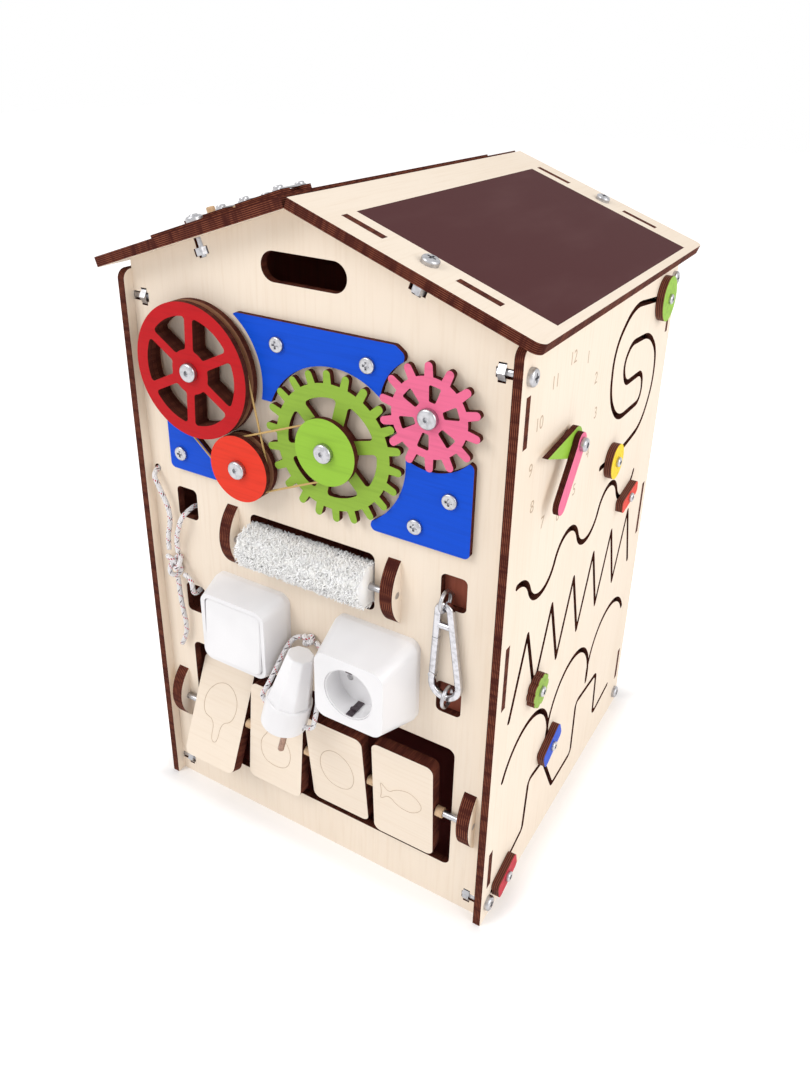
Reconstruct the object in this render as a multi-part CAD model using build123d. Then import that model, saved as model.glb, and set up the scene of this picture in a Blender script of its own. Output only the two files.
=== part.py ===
from build123d import *
from math import asin, atan2, cos, degrees, pi, radians, sin, tan
import os

# Activity house: a plywood play house with gears, a roller, flip cards, sliders, a clock,
# a switch, a socket, a lace and a snap hook on it. Millimetres, X to the right seen from
# the front, the front faces -Y, Z up, the origin under the middle of the overall box.

# Plywood, joints and play
ply = 6.0                       # walls
thin_ply = 4.0                  # gears, pulleys and blue plates
slider_ply = 3.0                # slider layers and card faces
hand_ply = 4.0                  # clock hands
joint_gap = 0.15                # laser-cut joint, all round
run_gap = 0.05                  # shaft in its bore, radial
face_gap = 0.3                  # between faces of pieces that move past each other
cut_over = 1.0                  # overrun of every cut

# House
house_width = 310.0
house_depth = 308.0
wall_top = 455.6
gable_inset = 7.7               # front wall's face behind the side walls' edges
roof_gap = 4.6                  # side walls' tops to the roof
eave_reach = 169.2              # ridge to eave along X
roof_overhang = 9.0             # roof beyond the walls, front and back
roof_slope = 19.45              # degrees
roof_deck = 4.0                 # lower sheet
roof_cover = 3.0                # upper sheet
roof_corner = 6.0
wall_corner = 7.0               # side walls' top corners

# Joints between the walls and through the roof
tenons = [(32.2, 66.5), (199.3, 250.7), (391.9, 424.8)]      # bottom and top of each
roof_tabs = [(31.0, 61.0), (113.0, 143.0)]                   # along the slope from the ridge
roof_bolt_along = 93.0
wall_bolt_heights = [15.0, 437.0]
frame_bolt_r = 3.0
frame_bolt_hole_r = 3.2
frame_bolt_length = 20.0        # under the head
frame_head_r = 5.8
frame_head_thick = 4.0
nut_flats = 10.0
nut_thick = 5.0
nut_from_face = 13.6            # outer face to the nut's near side
pocket_length = 12.4
recess_width = 1.6
recess_depth = 1.4

# Openings in the front wall
handle_under_ridge = 47.9
handle_length = 66.0
handle_width = 20.0
peg_window = (19.5, 26.0)
peg_window_x = 115.25
peg_window_z = [280.0, 193.5]
peg_window_corner = 4.0
roller_window = (108.0, 46.0)
roller_z = 266.5
roller_window_corner = 5.0
card_window = (245.0, 112.6)
card_window_z = 93.7
card_window_corner = 6.0
lace_hole = (-143.3, 303.2)
plug_hole = (-1.0, 200.6)
cord_hole_r = 2.9

# Gear and pulley train, looked at from the front
module = 4.5
large_teeth = 22
small_teeth = 14
large_gear_at = (24.5, 363.5)
mesh_direction = 27.9           # degrees, large gear's axle to the small gear's
tooth_tip_over = 3.9            # tip beyond the pitch circle
tooth_root_under = 5.0
tooth_root_width = 6.4
tooth_tip_width = 5.4
train_standoff = 3.0
axle_r = 3.0
axle_head_r = 6.8
axle_head_thick = 3.6
axle_recess_r = 2.0
drive_wheel_at = (-87.0, 395.8)
drive_wheel_r = 48.7
drive_groove_r = 44.0
drive_window = (16.0, 39.0)
drive_spoke = 7.0
drive_spoke_turn = 26.5
idler_at = (-49.2, 332.2)
idler_r = 24.8
idler_groove_r = 20.0
large_window = (19.0, 35.0)
large_spoke = 9.5
large_spoke_turn = 15.0
window_corner = 2.4
large_disc_r = 23.4
large_groove_r = 18.5
small_window = (10.5, 21.0)
small_window_ends = (4.4, 8.6)
small_window_turn = 20.0
spacer_r = 7.0
band_r = 0.7
band_groove_gap = 0.3

# Blue plates round the train
gear_arc_gap = 1.2              # plate edge beyond the gear's tips
wheel_arc_gap = 5.4
idler_arc_gap = 3.6
plate_corner = 4.0
plate_top = [(-56, 395), (-34, 384), (-26, 384), (56, 400), (70, 404), (77, 436.5), (70, 441.5), (-56, 441)]
plate_left = [(-124.3, 372), (-124.3, 310.8), (-66, 310.8), (-81.5, 327.5), (-101, 345), (-101, 372)]
plate_right = [(50.8, 310.8), (126.8, 310.8), (126.8, 377), (95, 377), (76, 366), (60, 330)]
plate_screws_at = [(-19.3, 425.3), (50.5, 425.0), (-112.7, 324.3), (111.5, 348.5), (87.1, 323.4)]

# Small pan head screws
screw_r = 1.8
screw_head_r = 5.4
screw_head_thick = 2.4
screw_bite = 5.0                # depth under the seat's own thickness

# Roller, cards and their half-moon brackets
roller_r = 17.0
roller_length = 106.0
roller_out = 4.5
rod_r = 2.5
moon_chord = 50.0
moon_rise = 11.5
moon_thick = 10.0
roller_moon_x = 70.0
card_moon_x = 137.0
card_moon_z = 92.0
card_axis_z = 90.7
card_out = 2.9
card_width = 52.3
card_height = 90.0
card_core = 4.0
card_corner = 6.0
card_pitch = 59.5
card_group_x = -4.4
card_tilts = [-23.0, -5.5, 6.9, 3.3]                         # degrees, top to the viewer positive
card_spacer_r = 4.0
card_spacer_length = 5.6

# Light switch and socket, surface boxes
box_side = 69.0
box_corner = 8.0
box_seat = 5.0                  # straight foot against the wall
box_wall = 2.6
switch_at = (-55.0, 196.0)
switch_reach = 26.0
switch_front = (60.0, 59.0)
rocker_size = (53.0, 51.0)
rocker_thick = 8.0
rocker_corner = 5.0
rocker_throw = 8.0              # degrees from one side to the other
rocker_rim = 3.2
socket_at = (57.5, 198.5)
socket_reach = 38.5
socket_front = (56.0, 54.0)
socket_corner = 9.0
recess_r = 19.7
recess_deep = 17.0
insert_floor = 3.0
socket_pin_r = 2.6
socket_pin_spacing = 19.0
clip_width = 5.0
clip_thick = 0.8
clip_bulge = 2.2

# Plug and its cord
plug_foot = (-6.6, 30.0, 139.7)                              # X, out of the front wall, Z
plug_top = (7.0, 24.0, 203.0)
plug_r = 17.5
plug_barrel = 24.0
plug_edge = 1.6
plug_grip_sides = 8
plug_grip_r = 17.0              # to the corners, at the barrel and at the cable end
plug_neck_r = 10.4
plug_grip_corner = 3.0
plug_bore_height = 5.4
plug_pin_r = 2.4
plug_pin_length = 19.0
plug_pin_turn = -45.0           # degrees about the plug's own axis
lace_r = 1.9
arc_share = 0.45                # an arc's tangent length as a share of the shorter run beside it
cord_bore_gap = 0.3
plug_knot_size = (12.0, 8.0, 11.0)
plug_knot_edge = 1.4
lace_knot_size = (18.0, 10.0, 24.0)
lace_knot_at = (-130.0, 5.3, 224.0)
lace_knot_edge = 2.2
stopper_r = 5.5
stopper_length = 9.0

# Snap hook and its eyes
upper_eye = (111.5, 275.0)
lower_eye = (116.0, 198.5)
eye_out = 4.0
eye_ring_r = 7.1
eye_wire_r = 1.4
eye_screw_bite = 5.0
hook_bottom_x = 114.5
hook_seat_gap = 0.4
hook_top_r = 4.6
hook_bottom_r = 10.4
hook_wire = 5.0
hook_edge = 1.6
gate_low = 214.0
gate_high = 246.0
gate_gap = 0.35
gate_tongue = 2.2
gate_pin_r = 1.0
hook_bar_height = 255.8         # middle of the bar that closes off the hook's small upper eye
backing_size = (36.0, 136.0)
backing_at = (115.0, 236.0)

# Clock and sliders on the right wall: positions are along Y and Z
clock_at = (-75.0, 373.0)
hour_tip = (-48.0, 6.5)                                      # from the clock's axle
hour_half_base = 11.0
minute_tip = (-25.5, -33.5)
hand_width = 14.0
hand_hub_r = 8.0
clock_head_r = 4.8
track_width = 4.6
slider_layers = 2
slider_shank_r = 2.0
slider_head_r = 4.0
slider_head_thick = 2.6
slider_back_r = 8.0
spiral = [(140, 423), (44, 436), (8.5, 412), (11, 373), (35, 349), (93, 347), (89.5, 373), (44, 375),
          (35, 393), (49, 406), (95, 402), (121, 382), (124, 350), (104, 321), (58, 316), (8, 319)]
low_bend = 6.0
low_track = [(-136, 20), (-83, 35), (-79, 83), (-50, 80), (-21, 30), (22, 31), (21, 88), (72, 85), (77, 35), (116, 42)]
wave_start = -136.5
wave_half = 43.5
wave_low = 265.0
wave_high = 293.0
wave_arcs = 6
zigzag_start = -131.0
zigzag_pitch = 42.6
zigzag_low = 180.0
zigzag_high = 240.0
zigzag_teeth = 6
hump_middle = -3.0
hump_pitch = 90.0
hump_count = 3
hump_top = 151.0
hump_cusp = 97.0
hump_end = 127.0
green_at = (117.0, 18.0)                                     # along Y, radius
yellow_at = (30.0, 14.0)
bar_size = (38.0, 12.0)
bar_corner = 4.0
bar_turn = 9.0
flower_r = 13.5
flower_petal_r = 4.0
flower_petals = 10
blue_size = (34.0, 17.0)
blue_turn = 24.0
crimson_size = (32.0, 16.0)
crimson_turn = 15.0
crimson_y = -121.0

# Chalkboard, and the board with the sliding latch on the left slope
chalk_start = 30.7              # along the slope from the ridge
chalk_eave_margin = 6.4
chalk_end_margin = 33.0
chalk_fit = 0.2
board_along = (21.0, 132.6)
board_end_margin = 12.0
board_thick = 3.0
board_corner = 6.0
latch_y = -118.0
latch_keeper = (24.0, 65.0)     # rails along the slope
latch_guide = (74.5, 113.0)
latch_rail_width = 8.0
latch_rail_across = 11.0        # middle of the bar to the middle of a rail
latch_straps = [29.7, 59.4, 80.6, 107.0]
latch_strap_width = 6.0
latch_strap_thick = 1.0
latch_screw_r = 1.4
latch_head_r = 3.2
latch_head_thick = 1.8
latch_bar = (66.5, 116.0)       # drawn back
latch_travel = 13.0
latch_peg_along = 100.4
latch_peg_r = 3.0
latch_peg_height = 5.0

# Worked out from the sizes above
half_width = house_width / 2
inner_x = half_width - ply
front_y = gable_inset - house_depth / 2
slope_cos = cos(radians(roof_slope))
slope_sin = sin(radians(roof_slope))
roof_thick = roof_deck + roof_cover
ridge_height = wall_top + roof_gap + (half_width * slope_sin + roof_thick) / slope_cos
roof_half_depth = house_depth / 2 + roof_overhang
handle_height = ridge_height - handle_under_ridge
eave_along = eave_reach / slope_cos
ridge_start = roof_thick * tan(radians(roof_slope)) + joint_gap
large_pitch_r = module * large_teeth / 2
small_pitch_r = module * small_teeth / 2
centre_distance = large_pitch_r + small_pitch_r
small_gear_at = (large_gear_at[0] + centre_distance * cos(radians(mesh_direction)),
                 large_gear_at[1] + centre_distance * sin(radians(mesh_direction)))
train_front = train_standoff + 3 * thin_ply
cord_path_r = lace_r + cord_bore_gap
hump_half = hump_pitch / 2
hump_centres = [hump_middle + hump_pitch * (k - (hump_count - 1) / 2) for k in range(hump_count)]
hump_rise = hump_top - hump_cusp
hump_r = (hump_half ** 2 + hump_rise ** 2) / (2 * hump_rise)
hump_z = hump_top - hump_r
wave_rise = wave_high - wave_low
wave_r = ((wave_half / 2) ** 2 + (wave_rise / 2) ** 2) / wave_rise
wave_half_turn = 2 * degrees(atan2(wave_rise, wave_half))
slider_stack = face_gap + slider_layers * slider_ply
rail_thick = slider_ply + 2 * joint_gap
hook_rest = hook_seat_gap + hook_wire / 2 + eye_wire_r
hook_top = (upper_eye[0], upper_eye[1] - eye_ring_r + hook_rest - hook_top_r)
hook_bottom = (hook_bottom_x, lower_eye[1] + hook_bottom_r)
shift_y = (socket_reach - front_y - roof_half_depth) / 2     # brings the overall box over the origin

front = Plane(origin=(0, front_y, 0), x_dir=(1, 0, 0), z_dir=(0, -1, 0))
back = Plane(origin=(0, -front_y, 0), x_dir=(-1, 0, 0), z_dir=(0, 1, 0))
right = Plane(origin=(half_width, 0, 0), x_dir=(0, 1, 0), z_dir=(1, 0, 0))
left = Plane(origin=(-half_width, 0, 0), x_dir=(0, -1, 0), z_dir=(-1, 0, 0))
roof_right = Plane(origin=(0, 0, ridge_height), x_dir=(slope_cos, 0, -slope_sin), z_dir=(slope_sin, 0, slope_cos))
roof_left = Plane(origin=(0, 0, ridge_height), x_dir=(-slope_cos, 0, -slope_sin), z_dir=(-slope_sin, 0, slope_cos))


def slab(plane, face, start, thick):
    """A flat piece on the plane, from start outwards."""
    return extrude(plane.offset(start) * face, amount=thick)


def from_to(a, b):
    """Size and centre of a span."""
    return b - a, (a + b) / 2


def rectangle(u_span, v_span):
    width, u = from_to(*u_span)
    height, v = from_to(*v_span)
    return Pos(u, v) * Rectangle(width, height)


def spot(at, face):
    return Pos(at[0], at[1]) * face


def rounded_outline(points, corner):
    return fillet(Polygon(*points, align=None).vertices(), corner)


def pin(plane, at, radius, start, length):
    return slab(plane, spot(at, Circle(radius)), start, length)


def cross_recess(plane, at, top, width, across):
    bars = spot(at, Rectangle(across, width) + Rectangle(width, across))
    return slab(plane, bars, top - recess_depth, recess_depth + cut_over)


def pan_screw(plane, at, seat, bite, shank_r, head_r, head_thick):
    """Screw with a domed head and a cross recess; its seat is the height under the head."""
    head = pin(plane, at, head_r, seat, head_thick)
    head = fillet(head.faces().sort_by(Axis(plane.origin, plane.z_dir))[-1].edges(), head_thick / 2)
    head -= cross_recess(plane, at, seat + head_thick, recess_width, head_r)
    return head + pin(plane, at, shank_r, seat - bite, bite)


def spoke_windows(r_in, r_out, spoke, turn):
    ring = Circle(r_out) - Circle(r_in)
    for k in range(3):
        ring -= Rot(0, 0, turn + 60 * k) * Rectangle(3 * r_out, spoke)
    return fillet(ring.vertices(), window_corner)


def finger_gear(teeth, pitch_r, first_tooth):
    """Flat gear with long rounded finger teeth."""
    root_r = pitch_r - tooth_root_under
    tip_centre = pitch_r + tooth_tip_over - tooth_tip_width / 2
    foot = root_r - tooth_root_width / 2
    flank = [(foot, -tooth_root_width / 2), (tip_centre, -tooth_tip_width / 2),
             (tip_centre, tooth_tip_width / 2), (foot, tooth_root_width / 2)]
    tooth = Polygon(*flank, align=None) + Pos(tip_centre, 0) * Circle(tooth_tip_width / 2)
    gear = Circle(root_r)
    for k in range(teeth):
        gear += Rot(0, 0, first_tooth + 360 * k / teeth) * tooth
    return gear


def track_face(path, width):
    """Slot with round ends along a path of lines and arcs."""
    face = Sketch()
    for edge in path.edges():
        if edge.geom_type == GeomType.LINE:
            face += SlotCenterPoint(edge @ 0.5, edge @ 1, width)
        else:
            face += SlotArc(edge, width)
    return face


# Walls
def roof_point(along, below):
    """Place on the gable, mirrored for the left by the caller: along the slope, under the roof's top."""
    return (along * slope_cos - below * slope_sin, ridge_height - along * slope_sin - below * slope_cos)


def bolt_slot():
    """Slot for a bolt and its nut, cut from an edge along -X, the outer face at X = 0."""
    depth = frame_bolt_length + joint_gap
    shank = rectangle((-depth, cut_over), (-frame_bolt_hole_r, frame_bolt_hole_r))
    pocket = rectangle((-nut_from_face - nut_thick - joint_gap, -nut_from_face + joint_gap),
                       (-pocket_length / 2, pocket_length / 2))
    return shank + pocket


def gable_outline():
    """Outline of the front and back walls with tenons, roof tabs and bolt slots."""
    eave = ridge_height - (inner_x * slope_sin + roof_thick) / slope_cos
    peak = ridge_height - roof_thick / slope_cos
    outline = Polygon((-inner_x, 0), (inner_x, 0), (inner_x, eave), (0, peak), (-inner_x, eave), align=None)
    for side in (-1, 1):
        for low, high in tenons:
            outline += spot((side * (inner_x + ply / 2), (low + high) / 2), Rectangle(ply, high - low))
        for start, end in roof_tabs:
            x, z = roof_point((start + end) / 2, roof_thick / 2)
            outline += Pos(side * x, z) * Rot(0, 0, -side * roof_slope) * Rectangle(end - start, roof_thick)
        for height in wall_bolt_heights:
            turn = 0 if side > 0 else 180
            outline -= Pos(side * half_width, height) * Rot(0, 0, turn) * bolt_slot()
        x, z = roof_point(roof_bolt_along, 0)
        turn = 90 - roof_slope if side > 0 else 90 + roof_slope
        outline -= Pos(side * x, z) * Rot(0, 0, turn) * bolt_slot()
    return outline - Pos(0, handle_height) * SlotOverall(handle_length, handle_width)


def front_wall():
    outline = gable_outline()
    for side in (-1, 1):
        for height in peg_window_z:
            outline -= Pos(side * peg_window_x, height) * RectangleRounded(*peg_window, peg_window_corner)
    outline -= Pos(0, roller_z) * RectangleRounded(*roller_window, roller_window_corner)
    outline -= Pos(0, card_window_z) * RectangleRounded(*card_window, card_window_corner)
    for at in (lace_hole, plug_hole):
        outline -= spot(at, Circle(cord_hole_r))
    for at in (drive_wheel_at, idler_at, large_gear_at, small_gear_at):
        outline -= spot(at, Circle(axle_r + run_gap))
    wall = slab(front, outline, -ply, ply)
    for at in plate_screws_at:
        wall -= pin(front, at, screw_r + run_gap, thin_ply - screw_bite - thin_ply, screw_bite + cut_over)
    return wall


def back_wall():
    return slab(back, gable_outline(), -ply, ply)


def side_wall_outline():
    outline = rectangle((-house_depth / 2, house_depth / 2), (0, wall_top))
    outline = fillet(outline.vertices().group_by(Axis.Y)[-1], wall_corner)
    slot_y = -front_y - ply / 2
    for side in (-1, 1):
        for low, high in tenons:
            size = Rectangle(ply + 2 * joint_gap, high - low + 2 * joint_gap)
            outline -= spot((side * slot_y, (low + high) / 2), size)
        for height in wall_bolt_heights:
            outline -= spot((side * slot_y, height), Circle(frame_bolt_hole_r))
    return outline


def widest_arcs(points):
    """Radius of the arc at each corner of a path, as large as its two runs allow."""
    radii = []
    for before, here, after in zip(points, points[1:], points[2:]):
        run_in, run_out = here - before, after - here
        half_turn = radians(run_in.get_angle(run_out)) / 2
        radii.append(arc_share * min(run_in.length, run_out.length) / tan(half_turn))
    return radii


def spiral_path():
    points = [Vector(*point) for point in spiral]
    return FilletPolyline(*points, radius=widest_arcs(points))


def wave_points():
    """Ends of the wave's arcs, half way between crest and trough, and the middle of each arc."""
    mid = (wave_low + wave_high) / 2
    arcs = []
    for k in range(1, wave_arcs):
        centre = wave_start + wave_half * k
        peak = wave_high if k % 2 == 0 else wave_low
        arcs.append(((centre - wave_half / 2, mid), (centre, peak), (centre + wave_half / 2, mid)))
    return arcs


def wave_lead():
    """The wave starts at a crest, half an arc before the first trough's arc."""
    centre = (wave_start, wave_high - wave_r)
    return CenterArc(centre, wave_r, 90 - wave_half_turn, wave_half_turn)


def zigzag_points():
    points = [(zigzag_start, zigzag_low)]
    for k in range(zigzag_teeth):
        left_foot = zigzag_start + zigzag_pitch * k
        points.append((left_foot + zigzag_pitch / 2, zigzag_high))
        points.append((left_foot + zigzag_pitch, zigzag_low))
    return points


def hump_arcs():
    """Three arches of one radius: the outer two end higher than the cusps between them."""
    drop = hump_z - hump_cusp
    cusp_turn = degrees(atan2(drop, hump_half))
    end_turn = degrees(asin((hump_end - hump_z) / hump_r))
    arcs = []
    for k, centre in enumerate(hump_centres):
        start = end_turn if k == hump_count - 1 else -cusp_turn
        end = 180 - end_turn if k == 0 else 180 + cusp_turn
        arcs.append(CenterArc((centre, hump_z), hump_r, start, end - start))
    return arcs


def right_wall():
    outline = side_wall_outline()
    outline -= track_face(spiral_path(), track_width)
    for arc in wave_points():
        outline -= SlotArc(ThreePointArc(*arc), track_width)
    outline -= SlotArc(wave_lead(), track_width)
    outline -= track_face(Polyline(*zigzag_points()), track_width)
    for arc in hump_arcs():
        outline -= SlotArc(arc, track_width)
    outline -= track_face(FilletPolyline(*low_track, radius=low_bend), track_width)
    outline -= spot(clock_at, Circle(axle_r + run_gap))
    return slab(right, outline, -ply, ply)


def left_wall():
    return slab(left, side_wall_outline(), -ply, ply)


def frame_fasteners():
    """Bolts through the side walls and the roof, each with its nut in the gable's slot."""
    pieces = []
    slot_y = -front_y - ply / 2
    for plane in (left, right):
        for side in (-1, 1):
            for height in wall_bolt_heights:
                pieces += bolt_and_nut(plane, (side * slot_y, height))
    for plane, seat in ((roof_left, board_thick), (roof_right, 0)):
        for side in (-1, 1):
            pieces += bolt_and_nut(plane, (roof_bolt_along, side * slot_y), seat)
    return pieces


def bolt_and_nut(plane, at, seat=0):
    length = frame_bolt_length + seat
    head = pan_screw(plane, at, seat, length, frame_bolt_r, frame_head_r, frame_head_thick)
    hexagon = RegularPolygon(nut_flats / 2, 6, major_radius=False) - Circle(frame_bolt_r + run_gap)
    return [head, slab(plane, spot(at, hexagon), -nut_from_face - nut_thick, nut_thick)]


# Roof
def roof_sheet(plane, start, thick):
    """One sheet of a slope with its tab slots and bolt holes."""
    span = (ridge_start, eave_along)
    sheet = rectangle(span, (-roof_half_depth, roof_half_depth))
    eave_corners = sheet.vertices().group_by(Axis.X)[-1]
    sheet = fillet(eave_corners, roof_corner)
    slot_y = -front_y - ply / 2
    for side in (-1, 1):
        for low, high in roof_tabs:
            slot = Rectangle(high - low + 2 * joint_gap, ply + 2 * joint_gap)
            sheet -= spot(((low + high) / 2, side * slot_y), slot)
        sheet -= spot((roof_bolt_along, side * slot_y), Circle(frame_bolt_hole_r))
    return slab(plane, sheet, start, thick)


def chalk_window(fit):
    """Window of the right slope's upper sheet, drawn in by fit."""
    span = (chalk_start + fit, eave_along - chalk_eave_margin - fit)
    half = roof_half_depth - chalk_end_margin - fit
    return rectangle(span, (-half, half))


def roof_frame():
    sheet = roof_sheet(roof_right, -roof_cover, roof_cover)
    return sheet - slab(roof_right, chalk_window(0), -roof_cover - cut_over, roof_cover + 2 * cut_over)


def chalkboard():
    return slab(roof_right, chalk_window(chalk_fit), -roof_cover, roof_cover)


# Latch on the left slope: a wooden bar between two rails, held down by steel straps
def latch_screws_at():
    spots = []
    for along in latch_straps:
        for side in (-1, 1):
            spots.append((along, -latch_y + side * latch_rail_across))
    return spots


def latch_holes(start, thick):
    holes = [pin(roof_left, at, latch_screw_r + run_gap, start, thick) for at in latch_screws_at()]
    return Compound(children=holes)


def latch_board():
    """Board on the left slope with the latch's four rails on it."""
    half = roof_half_depth - board_end_margin
    outline = RectangleRounded(board_along[1] - board_along[0], 2 * half, board_corner)
    outline = spot((sum(board_along) / 2, 0), outline)
    for side in (-1, 1):
        outline -= spot((roof_bolt_along, side * (-front_y - ply / 2)), Circle(frame_bolt_hole_r))
    pieces = [slab(roof_left, outline, 0, board_thick)]
    for span in (latch_keeper, latch_guide):
        for side in (-1, 1):
            middle = -latch_y + side * latch_rail_across
            rail = rectangle(span, (middle - latch_rail_width / 2, middle + latch_rail_width / 2))
            pieces.append(slab(roof_left, rail, board_thick, rail_thick))
    holes = latch_holes(-cut_over, board_thick + rail_thick + 2 * cut_over)
    return [piece - holes for piece in pieces]


def latch_straps_across():
    reach = latch_rail_across + latch_rail_width / 2
    start = board_thick + rail_thick
    holes = latch_holes(start - cut_over, latch_strap_thick + 2 * cut_over)
    pieces = []
    for along in latch_straps:
        strap = spot((along, -latch_y), RectangleRounded(latch_strap_width, 2 * reach, latch_strap_width / 3))
        pieces.append(slab(roof_left, strap, start, latch_strap_thick) - holes)
    return pieces


def latch_bolt():
    """Wooden bar, drawn back at rest, with its finger peg."""
    half = latch_rail_across - latch_rail_width / 2 - face_gap
    start = board_thick + joint_gap
    bar = slab(roof_left, rectangle(latch_bar, (-latch_y - half, -latch_y + half)), start, slider_ply)
    peg = pin(roof_left, (latch_peg_along, -latch_y), latch_peg_r, start + slider_ply, latch_peg_height)
    rim = peg.faces().sort_by(Axis(roof_left.origin, roof_left.z_dir))[-1].edges()
    return bar + fillet(rim, latch_peg_r / 3)


def panel_screws():
    """Pan head screws of the blue plates and the latch."""
    pieces = []
    for at in plate_screws_at:
        pieces.append(pan_screw(front, at, thin_ply, thin_ply + screw_bite - cut_over, screw_r, screw_head_r,
                                screw_head_thick))
    seat = board_thick + rail_thick + latch_strap_thick
    for at in latch_screws_at():
        pieces.append(pan_screw(roof_left, at, seat, seat, latch_screw_r, latch_head_r, latch_head_thick))
    return pieces


# Gear and pulley train
def train_layer(face, at, layer, bore=axle_r + run_gap):
    start = train_standoff + layer * thin_ply
    return slab(front, spot(at, face - Circle(bore)), start, thin_ply)


def large_gear():
    gear = finger_gear(large_teeth, large_pitch_r, mesh_direction)
    gear -= spoke_windows(*large_window, large_spoke, large_spoke_turn)
    return train_layer(gear, large_gear_at, 0)


def large_gear_pulley():
    groove = train_layer(Circle(large_groove_r), large_gear_at, 1)
    disc = train_layer(Circle(large_disc_r), large_gear_at, 2)
    return [groove, disc]


def small_gear():
    gear = finger_gear(small_teeth, small_pitch_r, mesh_direction + 180 + 180 / small_teeth)
    low, high = small_window
    inner, outer = small_window_ends
    wedge = Polygon((low, -inner / 2), (high, -outer / 2), (high, outer / 2), (low, inner / 2), align=None)
    wedge = fillet(wedge.vertices(), window_corner / 2)
    for k in range(6):
        gear -= Rot(0, 0, small_window_turn + 60 * k) * wedge
    return train_layer(gear, small_gear_at, 0)


def drive_disc(radius, layer):
    disc = Circle(radius) - spoke_windows(*drive_window, drive_spoke, drive_spoke_turn)
    return train_layer(disc, drive_wheel_at, layer)


def idler_disc(radius, layer):
    return train_layer(Circle(radius), idler_at, layer)


def train_axles():
    """Axle bolts of the four wheels and of the clock, each with a nut inside the wall."""
    pieces = []
    wheel_front = train_front + face_gap
    low_front = train_standoff + thin_ply + face_gap
    for at, seat in ((drive_wheel_at, wheel_front), (idler_at, wheel_front), (large_gear_at, wheel_front),
                     (small_gear_at, low_front)):
        pieces += axle_bolt(front, at, seat, axle_head_r)
    return pieces + axle_bolt(right, clock_at, clock_front(), clock_head_r)


def axle_bolt(plane, at, seat, head_r):
    length = seat + ply + nut_thick
    head = pin(plane, at, head_r, seat, axle_head_thick)
    head = fillet(head.faces().sort_by(Axis(plane.origin, plane.z_dir))[-1].edges(), axle_head_thick / 2)
    head -= pin(plane, at, axle_recess_r, seat + axle_head_thick - recess_depth, recess_depth + cut_over)
    bolt = head + pin(plane, at, axle_r, seat - length, length)
    hexagon = RegularPolygon(nut_flats / 2, 6, major_radius=False) - Circle(axle_r + run_gap)
    return [bolt, slab(plane, spot(at, hexagon), -ply - nut_thick, nut_thick)]


def axle_spacers():
    """Wooden rings that hold the wheels off the wall."""
    ring = Circle(spacer_r) - Circle(axle_r + run_gap)
    pieces = []
    for at in (drive_wheel_at, idler_at, large_gear_at, small_gear_at):
        pieces.append(slab(front, spot(at, ring), 0, train_standoff - face_gap))
    pieces.append(slab(right, spot(clock_at, ring), 0, slider_ply))
    return pieces


def belt(first, first_r, second, second_r, out):
    """Round elastic band, straight between two pulleys."""
    first_r += band_r + band_groove_gap
    second_r += band_r + band_groove_gap
    run = Vector(second[0] - first[0], second[1] - first[1])
    lean = degrees(atan2(first_r - second_r, (run.length ** 2 - (first_r - second_r) ** 2) ** 0.5))
    heading = degrees(atan2(run.Y, run.X))
    side_turn = 90 - lean
    first_arc = CenterArc(first, first_r, heading + side_turn, 360 - 2 * side_turn)
    second_arc = CenterArc(second, second_r, heading - side_turn, 2 * side_turn)
    loop = Wire([first_arc.edge(), Line(first_arc @ 1, second_arc @ 0).edge(), second_arc.edge(),
                 Line(second_arc @ 1, first_arc @ 0).edge()])
    loop = front.offset(out) * loop
    start = loop.edges()[0] @ 0
    section = Plane(origin=start, z_dir=loop.edges()[0] % 0)
    return sweep(section * Circle(band_r), path=loop)


def elastic_bands():
    middle = train_standoff + 1.5 * thin_ply
    apart = band_r + band_groove_gap / 2
    return [belt(drive_wheel_at, drive_groove_r, idler_at, idler_groove_r, middle - apart),
            belt(idler_at, idler_groove_r, large_gear_at, large_groove_r, middle + apart)]


def plate_between(points):
    """Blue plate cut back round the wheels that turn beside it."""
    outline = rounded_outline(points, plate_corner)
    tip = tooth_tip_over + gear_arc_gap
    outline -= spot(large_gear_at, Circle(large_pitch_r + tip))
    outline -= spot(small_gear_at, Circle(small_pitch_r + tip))
    outline -= spot(drive_wheel_at, Circle(drive_wheel_r + wheel_arc_gap))
    outline -= spot(idler_at, Circle(idler_r + idler_arc_gap))
    face = outline.faces().sort_by(SortBy.AREA)[-1]
    for at in plate_screws_at:
        face -= spot(at, Circle(screw_r + run_gap))
    return slab(front, face, 0, thin_ply)


# Roller, cards and brackets
def moon_bracket(x, z, axis_out, axis_z):
    """Half-moon bracket of stacked plywood that holds a rod."""
    radius = ((moon_chord / 2) ** 2 + moon_rise ** 2) / (2 * moon_rise)
    side = Plane(origin=(x - moon_thick / 2, front_y, z), x_dir=(0, -1, 0), z_dir=(1, 0, 0))
    disc = Pos(moon_rise - radius, 0) * Circle(radius)
    half = disc - rectangle((-3 * radius, 0), (-2 * radius, 2 * radius))
    half -= Pos(axis_out, -(axis_z - z)) * Circle(rod_r + run_gap)
    return extrude(side * half, amount=moon_thick)


def moon_brackets():
    pieces = []
    for side in (-1, 1):
        pieces.append(moon_bracket(side * roller_moon_x, roller_z, roller_out, roller_z))
        pieces.append(moon_bracket(side * card_moon_x, card_moon_z, card_out, card_axis_z))
    return pieces


def rod(reach, out, z):
    profile = Plane(origin=(-reach, front_y - out, z), x_dir=(0, 1, 0), z_dir=(1, 0, 0))
    return extrude(profile * Circle(rod_r), amount=2 * reach)


def rods():
    return [rod(roller_moon_x + moon_thick / 2, roller_out, roller_z),
            rod(card_moon_x + moon_thick / 2, card_out, card_axis_z)]


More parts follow.
